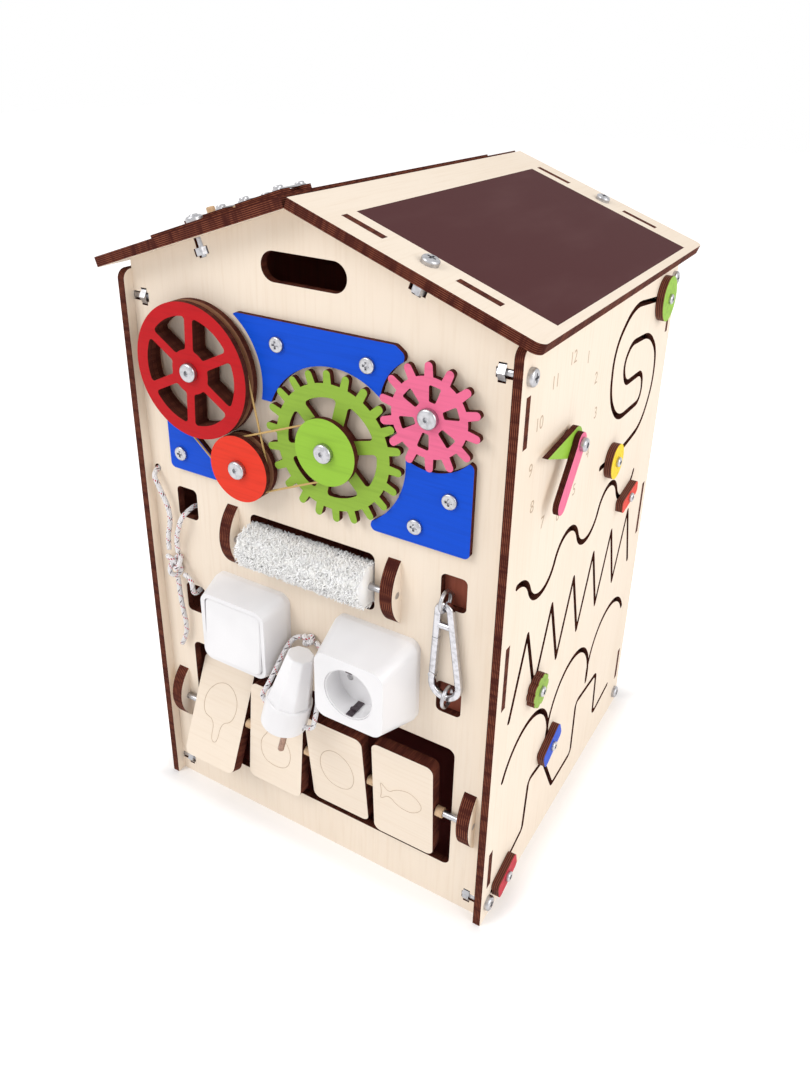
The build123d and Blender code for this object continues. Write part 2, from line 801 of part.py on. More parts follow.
def roller():
    profile = Plane(origin=(-roller_length / 2, front_y - roller_out, roller_z), x_dir=(0, 1, 0), z_dir=(1, 0, 0))
    body = extrude(profile * (Circle(roller_r) - Circle(rod_r + run_gap)), amount=roller_length)
    return body


def card_x(index):
    return card_group_x + (index - 1.5) * card_pitch


def flip_card(index):
    """Card of three layers that turns on the rod, at its tilt in the rest pose."""
    thick = card_core + 2 * slider_ply
    face = RectangleRounded(card_width, card_height, card_corner)
    pieces = []
    for start, layer in ((-thick / 2, slider_ply), (-card_core / 2, card_core), (card_core / 2, slider_ply)):
        pieces.append(extrude(Plane.XY.offset(start) * face, amount=layer))
    bore = Rot(0, 90, 0) * Cylinder(rod_r + run_gap, card_width + 2 * cut_over)
    stand = Location((card_x(index), front_y - card_out, card_axis_z))
    return [stand * Rot(90 + card_tilts[index], 0, 0) * (piece - bore) for piece in pieces]


def card_spacers():
    """Wooden spacers on the rod, one at the right of each card."""
    ring = Circle(card_spacer_r) - Circle(rod_r + run_gap)
    pieces = []
    for index in range(4):
        middle = card_x(index) + card_pitch / 2
        start = (middle - card_spacer_length / 2, front_y - card_out, card_axis_z)
        pieces.append(extrude(Plane(origin=start, x_dir=(0, 1, 0), z_dir=(1, 0, 0)) * ring, amount=card_spacer_length))
    return pieces


# Switch and socket
def tapered_box(at, reach, front_size, corner):
    foot = RectangleRounded(box_side, box_side, box_corner)
    top = RectangleRounded(*front_size, corner)
    body = slab(front, spot(at, foot), 0, box_seat)
    faces = [front.offset(box_seat) * spot(at, foot), front.offset(reach) * spot(at, top)]
    return body + loft(faces)


def switch_base():
    body = tapered_box(switch_at, switch_reach, switch_front, rocker_corner + rocker_rim)
    well = RectangleRounded(rocker_size[0] + 2 * face_gap, rocker_size[1] + 2 * face_gap, rocker_corner)
    body -= slab(front, spot(switch_at, well), box_wall, switch_reach)
    pivot = switch_reach - rocker_rim
    for side in (-1, 1):
        stub = Plane(origin=(switch_at[0] + side * (rocker_size[0] / 2 + cut_over), front_y - pivot, switch_at[1]),
                     x_dir=(0, 1, 0), z_dir=(-side, 0, 0))
        body += extrude(stub * Circle(rod_r), amount=3 * cut_over)
    return body


def switch_rocker():
    """Rocker pressed at the top in the rest pose; it tips about a pin along X."""
    pivot = switch_reach - rocker_rim
    face = RectangleRounded(*rocker_size, rocker_corner)
    plate = extrude(Plane.XY.offset(-rocker_thick / 2) * face, amount=rocker_thick)
    plate = chamfer(plate.faces().sort_by(Axis.Z)[-1].edges(), cut_over)
    for side in (-1, 1):
        socket = Rot(0, 90, 0) * Cylinder(rod_r + run_gap, 6 * cut_over)
        plate -= Pos(side * rocker_size[0] / 2, 0, 0) * socket
    stand = Location((switch_at[0], front_y - pivot, switch_at[1]))
    return stand * Rot(90 - rocker_throw / 2, 0, 0) * plate


def socket_base():
    body = tapered_box(socket_at, socket_reach, socket_front, socket_corner)
    well = Circle(recess_r + 2 * joint_gap)
    return body - slab(front, spot(socket_at, well), socket_reach - recess_deep - insert_floor, socket_reach)


def socket_insert():
    """Round floor and wall of the recess with the two pin holes."""
    ring_r = recess_r + joint_gap
    floor = Circle(ring_r)
    for side in (-1, 1):
        floor -= Pos(side * socket_pin_spacing / 2, 0) * Circle(socket_pin_r)
    floor_start = socket_reach - recess_deep - insert_floor
    wall = Circle(ring_r) - Circle(ring_r - cut_over)
    return slab(front, spot(socket_at, floor), floor_start, insert_floor) + slab(
        front, spot(socket_at, wall), floor_start, insert_floor + recess_deep - cut_over)


def earth_clips():
    """Sprung contacts at the top and bottom of the recess."""
    ring_inner = recess_r + joint_gap - cut_over
    inner = (ring_inner ** 2 - (clip_width / 2) ** 2) ** 0.5
    pieces = []
    for side in (-1, 1):
        strip = rectangle((-clip_width / 2, clip_width / 2), (inner - clip_thick - joint_gap, inner - joint_gap))
        nose = rectangle((-clip_width / 2, clip_width / 2), (inner - clip_bulge, inner - joint_gap))
        turn = 0 if side > 0 else 180
        start = socket_reach - recess_deep
        leaf = slab(front, spot(socket_at, Rot(0, 0, turn) * strip), start, recess_deep - cut_over)
        tip = slab(front, spot(socket_at, Rot(0, 0, turn) * nose), start + recess_deep / 2, clip_bulge)
        pieces.append(leaf + tip)
    return pieces


# Plug, cords and knots
def at_front(point):
    """Point given as X, distance out of the front wall's face, and Z."""
    return Vector(point[0], front_y - point[1], point[2])


def plug_plane():
    foot, top = at_front(plug_foot), at_front(plug_top)
    up = (top - foot).normalized()
    across = Vector(0, 1, 0).cross(up).normalized()
    return Plane(origin=foot, x_dir=across, z_dir=up)


def plug_length():
    return (at_front(plug_top) - at_front(plug_foot)).length


def plug_grip_face(radius):
    corners = RegularPolygon(radius, plug_grip_sides).vertices()
    return fillet(corners, plug_grip_corner)


def plug_body():
    """Plug body hanging upside down: a round barrel at the pins, and a grip of flats that tapers away."""
    length = plug_length()
    barrel = Cylinder(plug_r, plug_barrel, align=(Align.CENTER, Align.CENTER, Align.MIN))
    barrel = fillet(barrel.edges().filter_by(GeomType.CIRCLE), plug_edge)
    ends = [Plane.XY.offset(plug_barrel - plug_edge) * plug_grip_face(plug_grip_r),
            Plane.XY.offset(length) * plug_grip_face(plug_neck_r)]
    grip = loft(ends)
    grip = fillet(grip.edges().group_by(Axis.Z)[-1], plug_edge)
    body = barrel + grip
    bore = Pos(0, 0, plug_bore_height) * Rot(0, 90, 0) * Cylinder(cord_path_r, 3 * plug_r)
    for side in (-1, 1):
        body -= pin_place(side) * Cylinder(plug_pin_r + run_gap, 2 * pin_seat(),
                                           align=(Align.CENTER, Align.CENTER, Align.CENTER))
    return plug_plane() * (body - bore)


def pin_seat():
    return plug_bore_height - cord_path_r - 2 * run_gap


def pin_place(side):
    return Rot(0, 0, plug_pin_turn) * Pos(side * socket_pin_spacing / 2, 0, 0)


def plug_pins():
    pieces = []
    for side in (-1, 1):
        stem = Cylinder(plug_pin_r, plug_pin_length + pin_seat(), align=(Align.CENTER, Align.CENTER, Align.MAX))
        stem = fillet(stem.edges().sort_by(Axis.Z)[0], plug_pin_r / 2)
        pieces.append(plug_plane() * pin_place(side) * Pos(0, 0, pin_seat()) * stem)
    return pieces


def cord_tube(name, route):
    """Tube along straight runs and tangent arcs; compares its volume with section times length."""
    points = [at_front(p) for p in route]
    radii = widest_arcs(points)
    print(name, "radii", [round(r, 1) for r in radii])
    path = FilletPolyline(*points, radius=radii)
    section = Plane(origin=points[0], z_dir=points[1] - points[0])
    tube = sweep(section * Circle(lace_r), path=path.wire())
    share = tube.volume / (pi * lace_r ** 2 * path.length)
    print(name, "length", round(path.length, 1), "volume share", round(share, 4))
    return tube


# Routes by hand: X, out of the front wall, Z
plug_route = [(-7.6, 4.3, 200.6), (-12.4, 5.4, 200.2), (-16, 12, 192.5), (-18.6, 20.5, 179.5), (-22.4, 27, 165.5),
              (-30.5, 29.5, 150.1), (18.6, 29.5, 139.6), (20.5, 26.5, 154), (20, 21.5, 169), (18, 14.5, 182.5),
              (15, 8.3, 192.5), (11, 5, 198.8), (5.6, 4.3, 200.6)]
lace_upper_route = [(-143.3, -5.7, 303.2), (-143.1, 6.6, 302.8), (-136.8, 7.2, 291), (-131, 5.6, 276),
                    (-130.4, 4.8, 262), (-134.6, 5.6, 248), (-134.6, 5.3, 236.3)]
lace_loop_route = [(-125.4, 5.3, 236.3), (-125.4, 6, 248), (-120.6, 7, 260), (-115, 7.4, 273), (-114, -14, 277),
                   (-115, -15.5, 240), (-114.4, -14, 204), (-112.2, 6.4, 199), (-112, 6.4, 217), (-120.7, 5.3, 217)]
lace_tail_route = [(-128, 5.3, 211.7), (-128, 5, 198), (-126, 5.6, 184), (-124.6, 4.6, 170), (-126, 3.8, 157),
                   (-131.8, 4.2, 146)]


def plug_knot():
    """Knot in front of the cord hole, the neck through it and the stopper behind the wall."""
    x, z = plug_hole
    block = fillet(Box(*plug_knot_size).edges(), plug_knot_edge)
    knot = Pos(at_front((x, face_gap + plug_knot_size[1] / 2, z))) * block
    neck = pin(front, (x, z), lace_r, -ply - face_gap - lace_r, ply + 2 * face_gap + 2 * lace_r)
    stopper = pin(front, (x, z), stopper_r, -ply - face_gap - stopper_length, stopper_length)
    stopper = fillet(stopper.edges(), plug_knot_edge)
    return knot + neck + stopper


def lace_knots():
    """The knot on the lace and the stopper behind its hole."""
    block = fillet(Box(*lace_knot_size).edges(), lace_knot_edge)
    knot = Pos(at_front(lace_knot_at)) * block
    stopper = pin(front, lace_hole, stopper_r, -ply - stopper_length, stopper_length)
    return [knot, fillet(stopper.edges().filter_by(GeomType.CIRCLE), plug_knot_edge)]


# Snap hook and its eyes
def hook_loop(grow):
    top = spot(hook_top, Circle(hook_top_r + grow))
    bottom = spot(hook_bottom, Circle(hook_bottom_r + grow))
    return make_hull(top.edges() + bottom.edges())


def hook_axis_out():
    return eye_out + face_gap


def hook_ring():
    """Whole pear-shaped loop of the snap hook before its gate is parted."""
    ring = hook_loop(hook_wire / 2) - hook_loop(-hook_wire / 2)
    body = slab(front, ring, hook_axis_out() - hook_wire / 2, hook_wire)
    flat = body.faces().filter_by(Axis.Y)
    return fillet(flat.edges(), hook_edge)


def hook_bar():
    """Round bar across the loop, below its small upper eye."""
    reach = hook_bottom_r + hook_wire
    start = Plane(origin=at_front((hook_bottom[0] - reach, hook_axis_out(), hook_bar_height)), z_dir=(1, 0, 0))
    bar = extrude(start * Circle(hook_wire / 2), amount=2 * reach)
    return bar & slab(front, hook_loop(0), hook_axis_out() - hook_wire, 2 * hook_wire)


def gate_span(low, high):
    """Block over the hook's left side between two heights."""
    reach = hook_bottom_r + 2 * hook_wire
    span = rectangle((hook_bottom[0] - 2 * reach, (hook_top[0] + hook_bottom[0]) / 2), (low, high))
    return slab(front, span, hook_axis_out() - hook_wire, 2 * hook_wire)


def gate_pin_at():
    """Middle of the hook's left side at the gate's foot."""
    rise = hook_top[1] - hook_bottom[1]
    share = (gate_low - hook_bottom[1]) / rise
    return (hook_bottom[0] - hook_bottom_r + share * (hook_bottom_r - hook_top_r + hook_top[0] - hook_bottom[0]),
            gate_low)


def tongue(radius, thick):
    return slab(front, spot(gate_pin_at(), Circle(radius)), hook_axis_out() - thick / 2, thick)


def snap_hook():
    """Loop of the snap hook, open at its gate, with the fork and the pin that the gate turns on."""
    body = hook_ring() + hook_bar() - gate_span(gate_low, gate_high)
    body += tongue(hook_wire / 2, hook_wire)
    body -= tongue(hook_wire / 2 + gate_gap, gate_tongue + 2 * gate_gap)
    gate_side = hook_ring() & gate_span(gate_low, gate_high)
    body -= gate_side & tongue(hook_wire, hook_wire + cut_over) & gate_span(gate_low + hook_wire / 2, gate_high)
    return body + tongue(gate_pin_r, hook_wire)


def snap_gate():
    """Gate with a thin tongue round the pin."""
    clear = hook_wire / 2 + gate_gap
    gate = hook_ring() & gate_span(gate_low, gate_high - gate_gap)
    gate -= tongue(clear, 2 * hook_wire)
    link = hook_ring() & gate_span(gate_low, gate_low + 2 * clear)
    thin = slab(front, rectangle((0, 2 * hook_bottom[0]), (0, 2 * gate_high)), hook_axis_out() - gate_tongue / 2,
                gate_tongue)
    gate += (link & thin) + tongue(hook_wire / 2, gate_tongue)
    return gate - tongue(gate_pin_r + run_gap, 2 * hook_wire)


def eye_backing():
    """Strip glued behind the two right-hand windows; the screw eyes bite into it."""
    strip = spot(backing_at, Rectangle(*backing_size))
    body = slab(front, strip, -2 * ply, ply)
    for at in (upper_eye, lower_eye):
        body -= pin(front, at, eye_wire_r + run_gap, -ply - eye_screw_bite, eye_screw_bite + cut_over)
    return body


def screw_eyes():
    pieces = []
    bottom = -ply - eye_screw_bite
    for x, z in (upper_eye, lower_eye):
        ring = Pos(at_front((x, eye_out, z))) * Rot(0, 90, 0) * Torus(eye_ring_r, eye_wire_r)
        shank = pin(front, (x, z), eye_wire_r, bottom, eye_out - eye_ring_r - bottom)
        pieces.append(ring + shank)
    return pieces


# Clock
def hour_start():
    return slider_ply + face_gap


def minute_start():
    return hour_start() + hand_ply + face_gap


def clock_front():
    return minute_start() + hand_ply + face_gap


def hour_hand():
    """Wide wedge with its hub at the broad end."""
    direction = Vector(*hour_tip).normalized()
    normal = Vector(-direction.Y, direction.X)
    edge = normal * hour_half_base
    wedge = Polygon((-edge.X, -edge.Y), hour_tip, (edge.X, edge.Y), align=None) + Circle(hour_half_base)
    return slab(right, spot(clock_at, wedge - Circle(axle_r + run_gap)), hour_start(), hand_ply)


def minute_hand():
    bar = SlotCenterPoint((minute_tip[0] / 2, minute_tip[1] / 2), minute_tip, hand_width)
    shape = bar + Circle(hand_hub_r) - Circle(axle_r + run_gap)
    return slab(right, spot(clock_at, shape), minute_start(), hand_ply)


# Sliders on the right wall
def slider(at, face, turn=0):
    """Slider: its layers, a screw through the track and a back disc inside."""
    bore = Circle(slider_shank_r + run_gap)
    placed = Pos(at[0], at[1]) * Rot(0, 0, turn) * (face - bore)
    pieces = []
    for layer in range(slider_layers):
        pieces.append(slab(right, placed, face_gap + layer * slider_ply, slider_ply))
    inside = -ply - face_gap - slider_ply
    pieces.append(slab(right, spot(at, Circle(slider_back_r) - bore), inside, slider_ply))
    bite = slider_stack - inside
    pieces.append(pan_screw(right, at, slider_stack, bite, slider_shank_r, slider_head_r, slider_head_thick))
    return pieces


def along_line(a, b, y):
    """Point at this Y on the line from a to b."""
    share = (y - a[0]) / (b[0] - a[0])
    return (y, a[1] + share * (b[1] - a[1]))


def green_place():
    return along_line(spiral[0], spiral[1], green_at[0])


def yellow_place():
    return along_line(spiral[-2], spiral[-1], yellow_at[0])


def bar_place():
    """Lowest point of the wave's fifth arc, a trough."""
    return wave_points()[4][1]


def flower_place():
    return zigzag_points()[2]


def blue_place():
    return (hump_centres[1] - hump_half, hump_cusp)


def crimson_place():
    return along_line(low_track[0], low_track[1], crimson_y)


def flower_face():
    face = Circle(flower_r - flower_petal_r)
    for k in range(flower_petals):
        angle = radians(360 * k / flower_petals)
        reach = flower_r - flower_petal_r
        face += Pos(reach * cos(angle), reach * sin(angle)) * Circle(flower_petal_r)
    return face


def build_nodes():
    """Every named node with its piece or pieces."""
    nodes = {
        "front_wall": front_wall(),
        "back_wall": back_wall(),
        "left_wall": left_wall(),
        "right_wall": right_wall(),
        "roof_deck_right": roof_sheet(roof_right, -roof_thick, roof_deck),
        "roof_frame_right": roof_frame(),
        "chalkboard": chalkboard(),
        "roof_deck_left": roof_sheet(roof_left, -roof_thick, roof_deck),
        "roof_cover_left": roof_sheet(roof_left, -roof_cover, roof_cover),
        "latch_board": latch_board(),
        "latch_plates": latch_straps_across(),
        "latch_bolt": latch_bolt(),
        "frame_fasteners": frame_fasteners(),
        "panel_screws": panel_screws(),
        "plate_top": plate_between(plate_top),
        "plate_left": plate_between(plate_left),
        "plate_right": plate_between(plate_right),
        "drive_wheel_cheeks": [drive_disc(drive_wheel_r, 0), drive_disc(drive_wheel_r, 2)],
        "drive_wheel_core": drive_disc(drive_groove_r, 1),
        "idler_cheeks": [idler_disc(idler_r, 0), idler_disc(idler_r, 2)],
        "idler_core": idler_disc(idler_groove_r, 1),
        "large_gear": large_gear(),
        "large_gear_pulley": large_gear_pulley(),
        "small_gear": small_gear(),
        "axle_bolts": train_axles(),
        "axle_spacers": axle_spacers(),
        "elastic_bands": elastic_bands(),
        "moon_brackets": moon_brackets(),
        "rods": rods(),
        "roller": roller(),
        "card_spacers": card_spacers(),
        "switch_base": switch_base(),
        "switch_rocker": switch_rocker(),
        "socket_base": socket_base(),
        "socket_insert": socket_insert(),
        "earth_clips": earth_clips(),
        "plug_body": plug_body(),
        "plug_pins": plug_pins(),
        "plug_cord": cord_tube("plug_cord", plug_route),
        "plug_knot": plug_knot(),
        "lace_upper": cord_tube("lace_upper", lace_upper_route),
        "lace_loop": cord_tube("lace_loop", lace_loop_route),
        "lace_tail": cord_tube("lace_tail", lace_tail_route),
        "lace_knots": lace_knots(),
        "snap_hook": snap_hook(),
        "snap_gate": snap_gate(),
        "screw_eyes": screw_eyes(),
        "eye_backing": eye_backing(),
        "hour_hand": hour_hand(),
        "minute_hand": minute_hand(),
        "slider_green": slider(green_place(), Circle(green_at[1])),
        "slider_yellow": slider(yellow_place(), Circle(yellow_at[1])),
        "slider_bar": slider(bar_place(), RectangleRounded(*bar_size, bar_corner), bar_turn),
        "slider_flower": slider(flower_place(), flower_face()),
        "slider_blue": slider(blue_place(), RectangleRounded(*blue_size, bar_corner), blue_turn),
        "slider_crimson": slider(crimson_place(), RectangleRounded(*crimson_size, bar_corner), crimson_turn),
    }
    for index in range(4):
        nodes["flip_card_" + str(index + 1)] = flip_card(index)
    return nodes


def write_nodes():
    os.makedirs("parts", exist_ok=True)
    over_origin = Pos(0, shift_y, 0)
    nodes = build_nodes()
    for name, pieces in nodes.items():
        solids = []
        for piece in pieces if isinstance(pieces, list) else [pieces]:
            solids += piece.solids()
        export_step(over_origin * Compound(children=solids), "parts/" + name + ".step")
    print(len(nodes), "nodes")


if __name__ == "__main__":
    write_nodes()
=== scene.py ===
import bpy
import bmesh
import random
from math import cos, pi, radians, sin, tau
from mathutils import Matrix, Vector


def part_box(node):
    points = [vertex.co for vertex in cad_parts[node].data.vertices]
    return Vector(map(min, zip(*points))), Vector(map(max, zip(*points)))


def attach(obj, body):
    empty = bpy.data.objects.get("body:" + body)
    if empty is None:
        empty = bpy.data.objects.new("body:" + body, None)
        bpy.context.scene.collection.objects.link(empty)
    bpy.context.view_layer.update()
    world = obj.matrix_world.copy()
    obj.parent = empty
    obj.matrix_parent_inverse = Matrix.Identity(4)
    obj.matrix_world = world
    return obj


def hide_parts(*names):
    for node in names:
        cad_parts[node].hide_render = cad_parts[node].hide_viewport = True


# Looks for the activity house. Metres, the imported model's frame: X to the right seen from the
# front, the front faces -Y, Z up.

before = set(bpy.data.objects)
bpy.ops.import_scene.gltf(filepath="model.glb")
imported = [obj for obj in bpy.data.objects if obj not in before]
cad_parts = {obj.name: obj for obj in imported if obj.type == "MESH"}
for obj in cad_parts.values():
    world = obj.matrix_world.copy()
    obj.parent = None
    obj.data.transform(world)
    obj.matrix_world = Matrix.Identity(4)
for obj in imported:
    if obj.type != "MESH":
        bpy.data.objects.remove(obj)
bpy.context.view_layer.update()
random.seed(7)

# The house's middle is shift_y behind the origin; front_y is the front wall's outer face and
# side_x the right wall's. The inner half sizes reach to the walls' inner faces.
shift_y = 0.0109
front_y = -0.1463 + shift_y
side_x = 0.155
inner_half_width = 0.1525
inner_half_depth = 0.144
roof_slope = radians(19.45)

# Cards: tilt of each in degrees, its middle's X, the rod's place, half a card's thickness
card_tilts = [-23.0, -5.5, 6.9, 3.3]
card_centres = [-0.09365, -0.03415, 0.02535, 0.08485]
card_axis_out = 0.0029
card_axis_z = 0.0907
card_half_thick = 0.005

# Clock: the axle's Y and Z in the house's own middle, and its engraved numbers
clock_centre = (-0.075, 0.373)
hours = 12
dial_radius = 0.056
digit_height = 0.0125
digit_relief = 0.00006
picture_line_radius = 0.00022

# Sliders: where the painted face and the screw's head start, measured out of the right wall
slider_face_start = 0.0061
slider_screw_start = 0.0063

# Fleece sleeve of the roller
roller_radius = 0.017
roller_half = 0.053
roller_out = 0.0045
roller_z = 0.2665
core_share = 0.86
core_rings = 90
core_sides = 72
lump_share = 0.05
lumps_round = 9
lump_twist = 70
lump_pitch = 190
uneven_share = 0.03
lock_count = 5200
lock_sides = 5
lock_spans = 4
lock_lean = 0.0032
lock_lean_angle = 0.22
lock_tall_shares = (0.94, 1.07)
lock_wide = (0.0005, 0.0010)
curl_reach = 0.0006
curl_angle = 0.035
curl_winds = 4
taper_power = 0.6

# Laces
lace_radius = 0.0019
lace_sides = 14
lace_steps = 24
knot_steps = 120
coils = 95.0
strands_a_coil = 4
breaks_a_coil = 3

# Photograph's camera: metres, degrees, millimetres, and shares of the frame
camera_place = (0.337625, -0.589186 + shift_y, 0.607376)
camera_turn = (65.09, -1.792, 29.685)
camera_lens = 30.04
camera_sensor = 36.0
camera_shift = (-0.02264, -0.07692)

# Light: metres and watts; the sky's strength and the floor's own glow
light_target = (0, 0, 0.25)
key_place = (-1.1, -1.6, 1.9)
key_size = 1.2
key_power = 26.0
side_place = (2.0, -0.3, 1.2)
side_size = 1.4
side_power = 21.0
sky_light = 0.74
floor_reach = 6.0
floor_glow = 0.34
glow_fade = 0.03

# Colours, linear
birch = (0.82, 0.71, 0.59)
birch_dark = (0.70, 0.56, 0.42)
# Painted shade: dark brown for faces inside the house, standing in for the shade of the closed box
inside_shade = (0.30, 0.080, 0.048)
char = (0.050, 0.009, 0.006)
char_light = (0.22, 0.066, 0.034)
# Painted shade: dark brown for faces below the paint, in the grooves between a wheel's layers
groove_shade = (0.36, 0.17, 0.095)
red = (0.46, 0.006, 0.010)
orange = (0.72, 0.040, 0.018)
blue = (0.003, 0.070, 0.58)
green = (0.26, 0.42, 0.050)
light_green = (0.28, 0.50, 0.048)
pink = (0.76, 0.145, 0.27)
yellow = (0.88, 0.62, 0.010)
crimson = (0.50, 0.008, 0.030)
chalk_black = (0.072, 0.022, 0.023)
chalk_dust = (0.100, 0.042, 0.042)
white_plastic = (0.80, 0.79, 0.80)
zinc = (0.50, 0.50, 0.52)
nickel = (0.60, 0.60, 0.63)
brass = (0.34, 0.22, 0.17)
dark_steel = (0.12, 0.10, 0.11)
turned_wood = (0.62, 0.42, 0.25)
fleece_white = (0.95, 0.94, 0.94)
fleece_shade = (0.93, 0.91, 0.88)
lace_white = (0.88, 0.86, 0.87)
fleck_red = (0.58, 0.012, 0.05)
fleck_black = (0.05, 0.02, 0.03)
band_yellow = (0.62, 0.40, 0.14)
engraved_dark = (0.42, 0.30, 0.20)
engraved_light = (0.58, 0.46, 0.35)
white_ground = (0.93, 0.92, 0.92)
# Painted shade on the ground within the walls
painted_shade_ground = (0.30, 0.062, 0.052)
glow_colour = (1, 0.985, 0.98)
sky_colour = (1, 1, 1)

# Darker tone of a surface, as a share of its colour
inside_shade_dark_share = 0.6
groove_shade_dark_share = 0.7
worn_dark_share = 0.78
plastic_dark_share = 0.93
metal_dark_share = 0.72
slider_dark_share = 0.75
band_dark_share = 0.7
turned_dark_share = 0.72

# How much of a darker tone shows at most
fibre_tone_share = 0.30
cloud_tone_share = 0.30
worn_tone_share = 0.55
chalk_tone_share = 0.5
slider_soot_share = 0.45
soot_share = 0.5

# Where a pattern starts to show and where it shows in full
face_shares = (0.72, 0.86)
slider_facing_shares = (0.7, 0.85)
fibre_shares = (0.42, 0.80)
cloud_shares = (0.45, 0.80)
worn_shares = (0.40, 0.78)
light_layer_shares = (0.26, 0.36)
scorch_shares = (0.30, 0.68)
plastic_tint_shares = (0.35, 0.7)
smear_shares = (0.4, 0.75)
wipe_shares = (0.45, 0.8)
slider_seam_shares = (0.55, 0.75)
slider_grain_shares = (0.4, 0.75)
tuft_shares = (0.35, 0.7)
turned_shares = (0.38, 0.75)
red_fleck_shares = (0.86, 0.94)
black_fleck_shares = (0.92, 0.97)
dash_shares = (-0.2, 0.1)
turned_up_share = 0.3

# Noise: waves a metre and octaves; the wood's and the chalk's are drawn out one way
fibre_noise = (420.0, 5.0)
cloud_noise = (18.0, 3.0)
scorch_noise = (240.0, 3.0)
peel_noise = (900.0, 2.0)
tint_noise = (22.0, 2.0)
smear_noise = (340.0, 4.0)
grit_noise = (700.0, 3.0)
wipe_noise = (26.0, 3.0)
slider_noise = (300.0, 4.0)
tuft_noise = (240.0, 3.0)
rib_noise = (1500.0, 2.0)
burn_noise = (500.0, 2.0)
turned_noise = (380.0, 5.0)
fibre_stretch_share = 0.05
cloud_stretch_share = 0.22
scorch_stretch_share = 0.2
wipe_stretch_share = 0.3

# Relief, the plywood's layers and the soft border of paint, metres
fibre_relief = 0.00012
peel_relief = 0.00003
smear_relief = 0.00004
grit_relief = 0.00005
slider_relief = 0.00006
strand_relief = 0.0002
rib_relief = 0.0001
turned_relief = 0.00008
layer_thick = 0.0012
moon_layer_thick = 0.0016
core_layer_thick = 0.0009
slider_layer_thick = 0.0015
paint_depth = 0.0006
border = 0.0001
fleece_glow_depth = 0.008

# Roughness, and what a face or a screw takes off it
edge_rough = 0.84
bare_gloss = 0.30
painted_gloss = 0.36
plastic_rough = 0.30
zinc_rough = 0.30
clip_rough = 0.30
brass_rough = 0.25
nickel_rough = 0.14
smear_rough = 0.22
smear_gloss = 0.08
chalk_rough = 0.7
slider_rough = 0.55
screw_gloss = 0.25
fleece_rough = 0.95
sheen_rough = 0.6
lace_rough = 0.85
band_rough = 0.6
engraving_rough = 0.8
floor_rough = 0.7

# Specular level
wood_specular = 0.12
chalk_specular = 0.10
slider_specular = 0.25
fleece_specular = 0.1
turned_specular = 0.3

along_x = (1, 0, 0)
along_y = (0, 1, 0)
along_z = (0, 0, 1)
out_front = (0, -1, 0)
out_left = (-1, 0, 0)

# Places of the colour sockets in a mixing node
mix_first, mix_second, mix_result = 6, 7, 2


class Shader:
    """Material under construction, with short calls for the nodes it uses."""

    def __init__(self, name, roughness=0.5, metallic=0.0):
        self.material = bpy.data.materials.new(name)
        self.material.use_nodes = True
        self.tree = self.material.node_tree
        self.surface = self.tree.nodes["Principled BSDF"]
        self.surface.inputs["Roughness"].default_value = roughness
        self.surface.inputs["Metallic"].default_value = metallic
        self.coordinates = self.tree.nodes.new("ShaderNodeTexCoord")
        self.place = self.coordinates.outputs["Object"]
        self.normal = self.coordinates.outputs["Normal"]

    def feed(self, socket, value):
        """Link a node's output to a socket, or set the socket to a number or a colour."""
        if isinstance(value, bpy.types.NodeSocket):
            self.tree.links.new(value, socket)
        elif isinstance(value, tuple) and len(socket.default_value) == 4:
            socket.default_value = (*value, 1)
        else:
            socket.default_value = value

    def math(self, operation, first, second=0.0):
        node = self.tree.nodes.new("ShaderNodeMath")
        node.operation = operation
        self.feed(node.inputs[0], first)
        self.feed(node.inputs[1], second)
        return node.outputs[0]

    def times(self, first, second):
        return self.math("MULTIPLY", first, second)

    def minus(self, first, second):
        return self.math("SUBTRACT", first, second)

    def size(self, value):
        """The value without its sign."""
        return self.math("ABSOLUTE", value)

    def saw(self, value, period):
        """0 to 1 over each period."""
        return self.math("FRACT", self.math("DIVIDE", value, period))

    def wave(self, value, winds=1):
        """Sine that winds so many times while the value grows by 1."""
        return self.math("SINE", self.times(value, winds * tau))

    def dot(self, first, second):
        node = self.tree.nodes.new("ShaderNodeVectorMath")
        node.operation = "DOT_PRODUCT"
        self.feed(node.inputs[0], first)
        self.feed(node.inputs[1], second)
        return node.outputs["Value"]

    def vector(self, x, y, z):
        node = self.tree.nodes.new("ShaderNodeCombineXYZ")
        for socket, value in zip(node.inputs, (x, y, z)):
            self.feed(socket, value)
        return node.outputs[0]

    def part(self, vector, axis):
        node = self.tree.nodes.new("ShaderNodeSeparateXYZ")
        self.feed(node.inputs[0], vector)
        return node.outputs[axis]

    def noise(self, vector, waves_and_octaves):
        node = self.tree.nodes.new("ShaderNodeTexNoise")
        self.feed(node.inputs["Vector"], vector)
        node.inputs["Scale"].default_value, node.inputs["Detail"].default_value = waves_and_octaves
        return node.outputs["Fac"]

    def ramp(self, value, ends):
        """0 at the first end, 1 at the second, smooth between them."""
        node = self.tree.nodes.new("ShaderNodeMapRange")
        node.interpolation_type = "SMOOTHSTEP"
        self.feed(node.inputs["Value"], value)
        node.inputs["From Min"].default_value, node.inputs["From Max"].default_value = ends
        return node.outputs["Result"]

    def mix(self, share, first, second):
        node = self.tree.nodes.new("ShaderNodeMix")
        node.data_type = "RGBA"
        self.feed(node.inputs["Factor"], share)
        self.feed(node.inputs[mix_first], first)
        self.feed(node.inputs[mix_second], second)
        return node.outputs[mix_result]

    def colour(self, value):
        self.feed(self.surface.inputs["Base Color"], value)

    def rough(self, value):
        self.feed(self.surface.inputs["Roughness"], value)

    def specular(self, level):
        self.surface.inputs["Specular IOR Level"].default_value = level

    def bump(self, height, distance):
        node = self.tree.nodes.new("ShaderNodeBump")
        node.inputs["Strength"].default_value = 1.0
        node.inputs["Distance"].default_value = distance
        self.feed(node.inputs["Height"], height)
        self.feed(self.surface.inputs["Normal"], node.outputs["Normal"])


def cross(a, b):
    return tuple(Vector(a).cross(Vector(b)))


